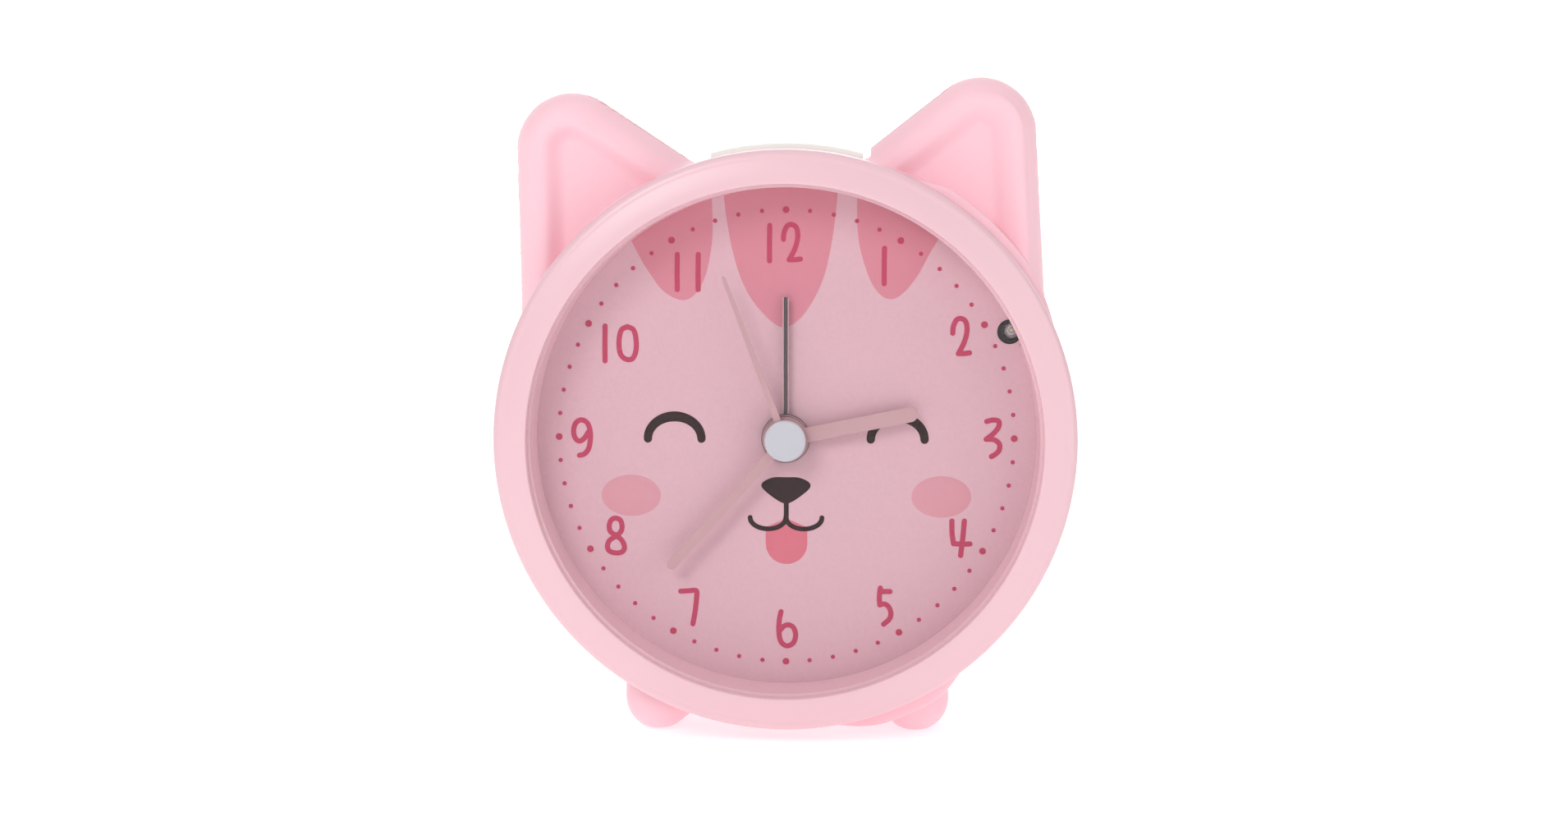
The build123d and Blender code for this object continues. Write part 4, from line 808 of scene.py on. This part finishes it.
rows.append(round_axis(radius_up, around_up, back)[-2::-1])
for depth in (26.3, 28.5, 31.0, REAR_DEPTH - REAR_ROUND):
    rows.append(wall(CASE_RADIUS, depth))
for a in np.radians(np.linspace(0, 90, 13)[1:]):
    corner = CASE_RADIUS - REAR_ROUND
    rows.append(wall(corner + REAR_ROUND * math.cos(a), REAR_DEPTH - REAR_ROUND + REAR_ROUND * math.sin(a)))
opening = 50.3
for a in np.radians(np.linspace(90, 270, 7)):
    rows.append(wall(opening + 0.85 + 0.85 * math.cos(a), REAR_DEPTH - 0.85 + 0.85 * math.sin(a)))
inside_round = REAR_ROUND - 1.7
for a in np.radians(np.linspace(90, 0, 8)):
    corner = inner - inside_round
    rows.append(wall(corner + inside_round * math.cos(a), REAR_DEPTH - REAR_ROUND + inside_round * math.sin(a)))
for depth in (27.0, 20.0, 14.0):
    rows.append(wall(inner, depth, 0.0))
sleeve = skin("sleeve_soft", [np.concatenate(rows)], join_rows=True, crease=60)

# %% [markdown]
# The snooze bar comes up through a slot in the top of the sleeve. Cutting it with a Boolean modifier keeps the grid
# simple: the cutter is a rounded slab, and it is thrown away once the cut is made.

# %% Slot for the snooze bar
bar_low, bar_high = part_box("snooze_bar")
SLOT_GAP = 0.6
slab_middle = ((bar_low.x + bar_high.x) / 2 / MM, ((bar_low.y + bar_high.y) / 2 - LIP_Y) / MM)
slab_half = ((bar_high.x - bar_low.x) / 2 / MM + SLOT_GAP, (bar_high.y - bar_low.y) / 2 / MM + SLOT_GAP)
SLAB_ROUND = 1.0
quarter = np.repeat(np.arange(4), 7)
bend = (quarter + np.tile(np.linspace(0, 1, 7), 4)) * math.pi / 2
slab_x = np.where((quarter == 0) | (quarter == 3), 1, -1) * (slab_half[0] - SLAB_ROUND) + SLAB_ROUND * np.cos(bend)
slab_y = np.where(quarter < 2, 1, -1) * (slab_half[1] - SLAB_ROUND) + SLAB_ROUND * np.sin(bend)
share = np.array([0.0, 1.0, 1.0, 0.0])[:, None]
level = np.array([45.0, 45.0, 70.0, 70.0])[:, None]
slab = place(slab_middle[0] + share * slab_x, level, slab_middle[1] + share * slab_y)
cutter = skin("slot_cutter", [slab])
cut = sleeve.modifiers.new("slot", "BOOLEAN")
cut.operation = "DIFFERENCE"
cut.solver = "EXACT"
cut.object = cutter
bpy.context.view_layer.update()
cut_mesh = bpy.data.meshes.new_from_object(sleeve.evaluated_get(bpy.context.evaluated_depsgraph_get()))
sleeve.modifiers.clear()
sleeve.data = cut_mesh
bpy.data.objects.remove(cutter)
sleeve.data.shade_smooth()
sleeve.data.set_sharp_from_angle(angle=math.radians(50))
fit_out(sleeve, "case", silicone, ["sleeve"])

# %% [markdown]
# ### Feet
#
# Each foot is a lobe of the sleeve, a sausage lying from front to back with its underside cut flat. Its section is a
# circle, carried along a short straight path and closed with a half ball at each end. Where it meets the barrel it
# swells a little, as a moulded fillet does.

# %% Feet
FOOT_RADIUS = 6.8
FOOT_X = 26.3
FOOT_Z = -54.4
FOOT_FRONT = 17.0
FOOT_BACK = 31.5
SOLE_CUT = 0.4
spin = np.linspace(0, 2 * math.pi, 96, endpoint=False)[None, :]
ball = np.linspace(0, math.pi / 2, 14)
ball_depth = FOOT_RADIUS * np.cos(ball)
ball_size = FOOT_RADIUS * np.sin(ball)
foot_depth = np.concatenate([FOOT_FRONT - ball_depth, FOOT_BACK + ball_depth[::-1]])[:, None]
foot_size = np.concatenate([ball_size, ball_size[::-1]])[:, None]
feet = []
for side in (-1, 1):
    foot_x = side * FOOT_X + foot_size * np.cos(spin)
    foot_z = FOOT_Z + foot_size * np.sin(spin)
    height = CASE_RADIUS - np.hypot(foot_x, foot_z)
    swell = 1 + 0.22 * np.exp(-(((height + 1.5) / 2.2) ** 2)) * (foot_size / FOOT_RADIUS)
    foot_x = side * FOOT_X + foot_size * np.cos(spin) * swell
    foot_z = FOOT_Z + foot_size * np.sin(spin) * swell
    foot_z = soft_max(foot_z, np.full(foot_z.shape, FOOT_Z - FOOT_RADIUS + SOLE_CUT), 0.35)
    feet.append(place(foot_x, np.maximum(foot_z, FOOT_Z - FOOT_RADIUS + SOLE_CUT), foot_depth))
fit_out(skin("sleeve_feet", feet, crease=80), "case", silicone)

# %% [markdown]
# ## Hands
#
# The hands are thin styrene mouldings, so the CAD shapes serve as they are. The alarm hand is printed dark; the bright
# lines along its sides and round its hub are painted highlights, given by two thin pale ribbons and a pale ring.

# %% Painted highlights on the alarm hand
alarm_low, alarm_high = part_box("alarm_hand")
ALARM_TIP = (alarm_high.z - AXIS_Z) / MM
ALARM_WIDTH = 1.15
ALARM_HUB = node_radius("alarm_hand")
alarm_lift = DIAL_DEPTH - (alarm_low.y - LIP_Y) / MM
highlight_floor = alarm_lift - 0.05
highlight_top = alarm_lift + 0.03
# Pale ribbons along the alarm hand's sides and round its hub: painted highlights, not a colour the hand has.
painted_edge_highlights = []
for side in (-1, 1):
    edge = side * (ALARM_WIDTH / 2 - 0.08)
    edge_line = [(edge, ALARM_HUB + 0.2), (edge, ALARM_HUB + 8), (edge, ALARM_TIP - 0.2)]
    painted_edge_highlights.append(ribbon(edge_line, 0.2, highlight_top, floor=highlight_floor))
hub_line = ellipse((0, 0), ALARM_HUB - 0.25, ALARM_HUB - 0.25, steps=72)
painted_edge_highlights.append(ribbon(np.concatenate([hub_line, hub_line[:1]]), 0.22, highlight_top, floor=highlight_floor))
fit_out(skin("alarm_hand_painted_highlights", painted_edge_highlights), "alarm_hand", hand_plastic)

# %% [markdown]
# ## The night light
#
# A 3 mm light-emitting diode: a clear epoxy dome on a flange. Through the epoxy one sees the steel cup that holds the
# chip, and the anvil beside it; the cup and the chip are small pieces of their own inside the dome, and the anvil is
# not drawn. The clear body is the CAD node.

# %% Inside the light
cup_depth = (led_low.y - LIP_Y) / MM + 2.6
cup = [(0.0, 0.35), (0.35, 0.35), (0.75, 0.0), (0.95, 0.0), (0.95, 0.5), (0.4, 1.3), (0.4, 2.1), (0.0, 2.1)]
cup = np.array(cup)
cup_turn = np.linspace(0, 2 * math.pi, 32, endpoint=False)
cup_grid = place(LED_X + cup[:, :1] * np.cos(cup_turn), LED_Z + cup[:, :1] * np.sin(cup_turn), cup_depth + cup[:, 1:])
fit_out(skin("led_cup", [cup_grid]), "case", tinned)
chip_glow = moulded("led_die_phosphor", "#E9D36A", "#DDBF4E", roughness=0.6, grain_mm=0.2, grain_um=4)
die = ellipse((LED_X, LED_Z), 0.34, 0.34, steps=4)
die_share = np.array([[0], [1], [1], [0]])
die_grid = place(
    LED_X + (die[:, 0] - LED_X) * die_share,
    LED_Z + (die[:, 1] - LED_Z) * die_share,
    cup_depth + np.array([[0.15], [0.15], [0.3], [0.3]]),
)
fit_out(skin("led_die", [die_grid]), "case", chip_glow)

# %% [markdown]
# ## Materials for the parts that keep their CAD shape
#
# Every other part only needs the right stuff on it. A short table names each CAD part and its material.

# %% Materials for CAD parts
FINISHES = {
    lens_acrylic: ["lens"],
    card: ["dial"],
    hand_plastic: ["hour_hand", "minute_hand", "second_hand"],
    alarm_ink: ["alarm_hand"],
    cap_plastic: ["hand_cap"],
    led_epoxy: ["led"],
    bar_plastic: ["snooze_bar"],
    shell_abs: ["rear_shell", "battery_door"],
    knob_abs: ["time_knob", "alarm_knob", "alarm_switch"],
    inner_plastic: ["coil_bobbin", "switch_plunger"],
    black_plastic: ["dial_carrier", "alarm_switch_body", "snooze_switch", "buzzer", "chip"],
    movement_plastic: ["movement_housing", "movement_front_plate", "movement_mid_plate"],
    gear_plastic: [
        "alarm_pinion", "alarm_wheel", "cannon_pinion", "centre_wheel", "fifth_wheel", "hour_wheel", "minute_wheel",
        "rotor_pinion", "second_wheel", "third_wheel",
    ],
    laminate: ["circuit_board", "light_board"],
    tinned: ["battery_contact", "battery_spring", "led_leads", "quartz_crystal"],
    zinc: ["case_screws", "movement_screws"],
    iron: ["coil_core", "stator"],
    magnet: ["rotor_magnet"],
    copper: ["coil_winding"],
    red_pvc: ["battery_wire_red", "led_wire_red", "movement_wire_red", "buzzer_wires"],
    black_pvc: ["battery_wire_black", "led_wire_black", "movement_wire_black", "switch_wires"],
    cell_wrap: ["battery_cell"],
}
for material, names in FINISHES.items():
    for name in names:
        for slot in nodes[name].material_slots:
            slot.material = material
finished = {name for names in FINISHES.values() for name in names}
print("CAD parts without a new finish:", sorted(set(nodes) - finished - {"bezel", "sleeve"}))

# %% [markdown]
# ## Floor, light and camera
#
# The clock stands on white card that curves up behind it. Two big soft lamps and a bright surround light it evenly,
# as for a shop picture: the soft shadows only say which way the surfaces turn.

# %% Stage
bpy.context.scene.view_settings.view_transform = "Standard"
paper = moulded(
    "card_white_sweep", "#F6F4F4", "#F3F1F1", roughness=0.8, grain_mm=2.0, grain_um=20, cloud_mm=200.0,
    Emission_Color=(1.0, 1.0, 1.0, 1.0), Emission_Strength=0.4)
bend_angle = np.radians(np.linspace(0, 90, 24))
sweep_y = np.concatenate([[-1.2, -0.6, 0.0, 0.5], 0.9 + 0.5 * np.sin(bend_angle), [1.4]])
sweep_z = np.concatenate([[0, 0, 0, 0], 0.5 - 0.5 * np.cos(bend_angle), [2.0]])
sweep_x = np.linspace(-1.8, 1.8, 24)
sweep_grid = np.stack(np.broadcast_arrays(sweep_x[None, :], sweep_y[:, None], sweep_z[:, None] - 0.0001), axis=-1)
backdrop = skin("backdrop", [sweep_grid], join_columns=False)
backdrop.data.materials.append(paper)


def lamp(name, where, target, size, power, colour="#FFFFFF"):
    """A square soft lamp aimed at a point."""
    data = bpy.data.lights.new(name, "AREA")
    data.shape = "RECTANGLE"
    data.size, data.size_y = size
    data.energy = power
    data.color = linear(colour)[:3]
    lamp_object = bpy.data.objects.new(name, data)
    lamp_object.location = where
    lamp_object.rotation_euler = (Vector(target) - Vector(where)).to_track_quat("-Z", "Y").to_euler()
    bpy.context.scene.collection.objects.link(lamp_object)


lamp("lamp_key", (-0.38, -0.7, 0.6), (0, 0, 0.06), (0.4, 0.4), 3.1)
lamp("lamp_fill", (0.75, -0.6, 0.35), (0, 0, 0.06), (0.7, 0.7), 1.5)
lamp("lamp_top", (0.0, 0.05, 0.95), (0, 0, 0.06), (0.9, 0.9), 1.8)
lamp("lamp_back", (0.0, 0.9, 0.7), (0, 1.4, 0.5), (1.6, 0.8), 10.0)
world = bpy.data.worlds.new("studio")
bpy.context.scene.world = world
world.use_nodes = True
world.node_tree.nodes["Background"].inputs["Color"].default_value = linear("#FFFFFF")
world.node_tree.nodes["Background"].inputs["Strength"].default_value = 0.39

# %% Camera
CAMERA_DISTANCE = 0.55
CAMERA_UP = math.radians(7.5)
CAMERA_SIDE = math.radians(2.1)
hand_axis_front = Vector((0, LIP_Y, AXIS_Z))
camera_data = bpy.data.cameras.new("camera")
camera = bpy.data.objects.new("camera", camera_data)
camera_data.lens = 64.0
camera_data.sensor_width = 36.0
camera_data.clip_start = 0.01
camera.location = hand_axis_front + CAMERA_DISTANCE * Vector(
    (
        math.sin(CAMERA_SIDE) * math.cos(CAMERA_UP),
        -math.cos(CAMERA_SIDE) * math.cos(CAMERA_UP),
        math.sin(CAMERA_UP),
    )
)
aim = hand_axis_front + Vector((0, 0, 0.0068))
camera.rotation_euler = (aim - camera.location).to_track_quat("-Z", "Y").to_euler()
bpy.context.scene.collection.objects.link(camera)
bpy.context.scene.camera = camera
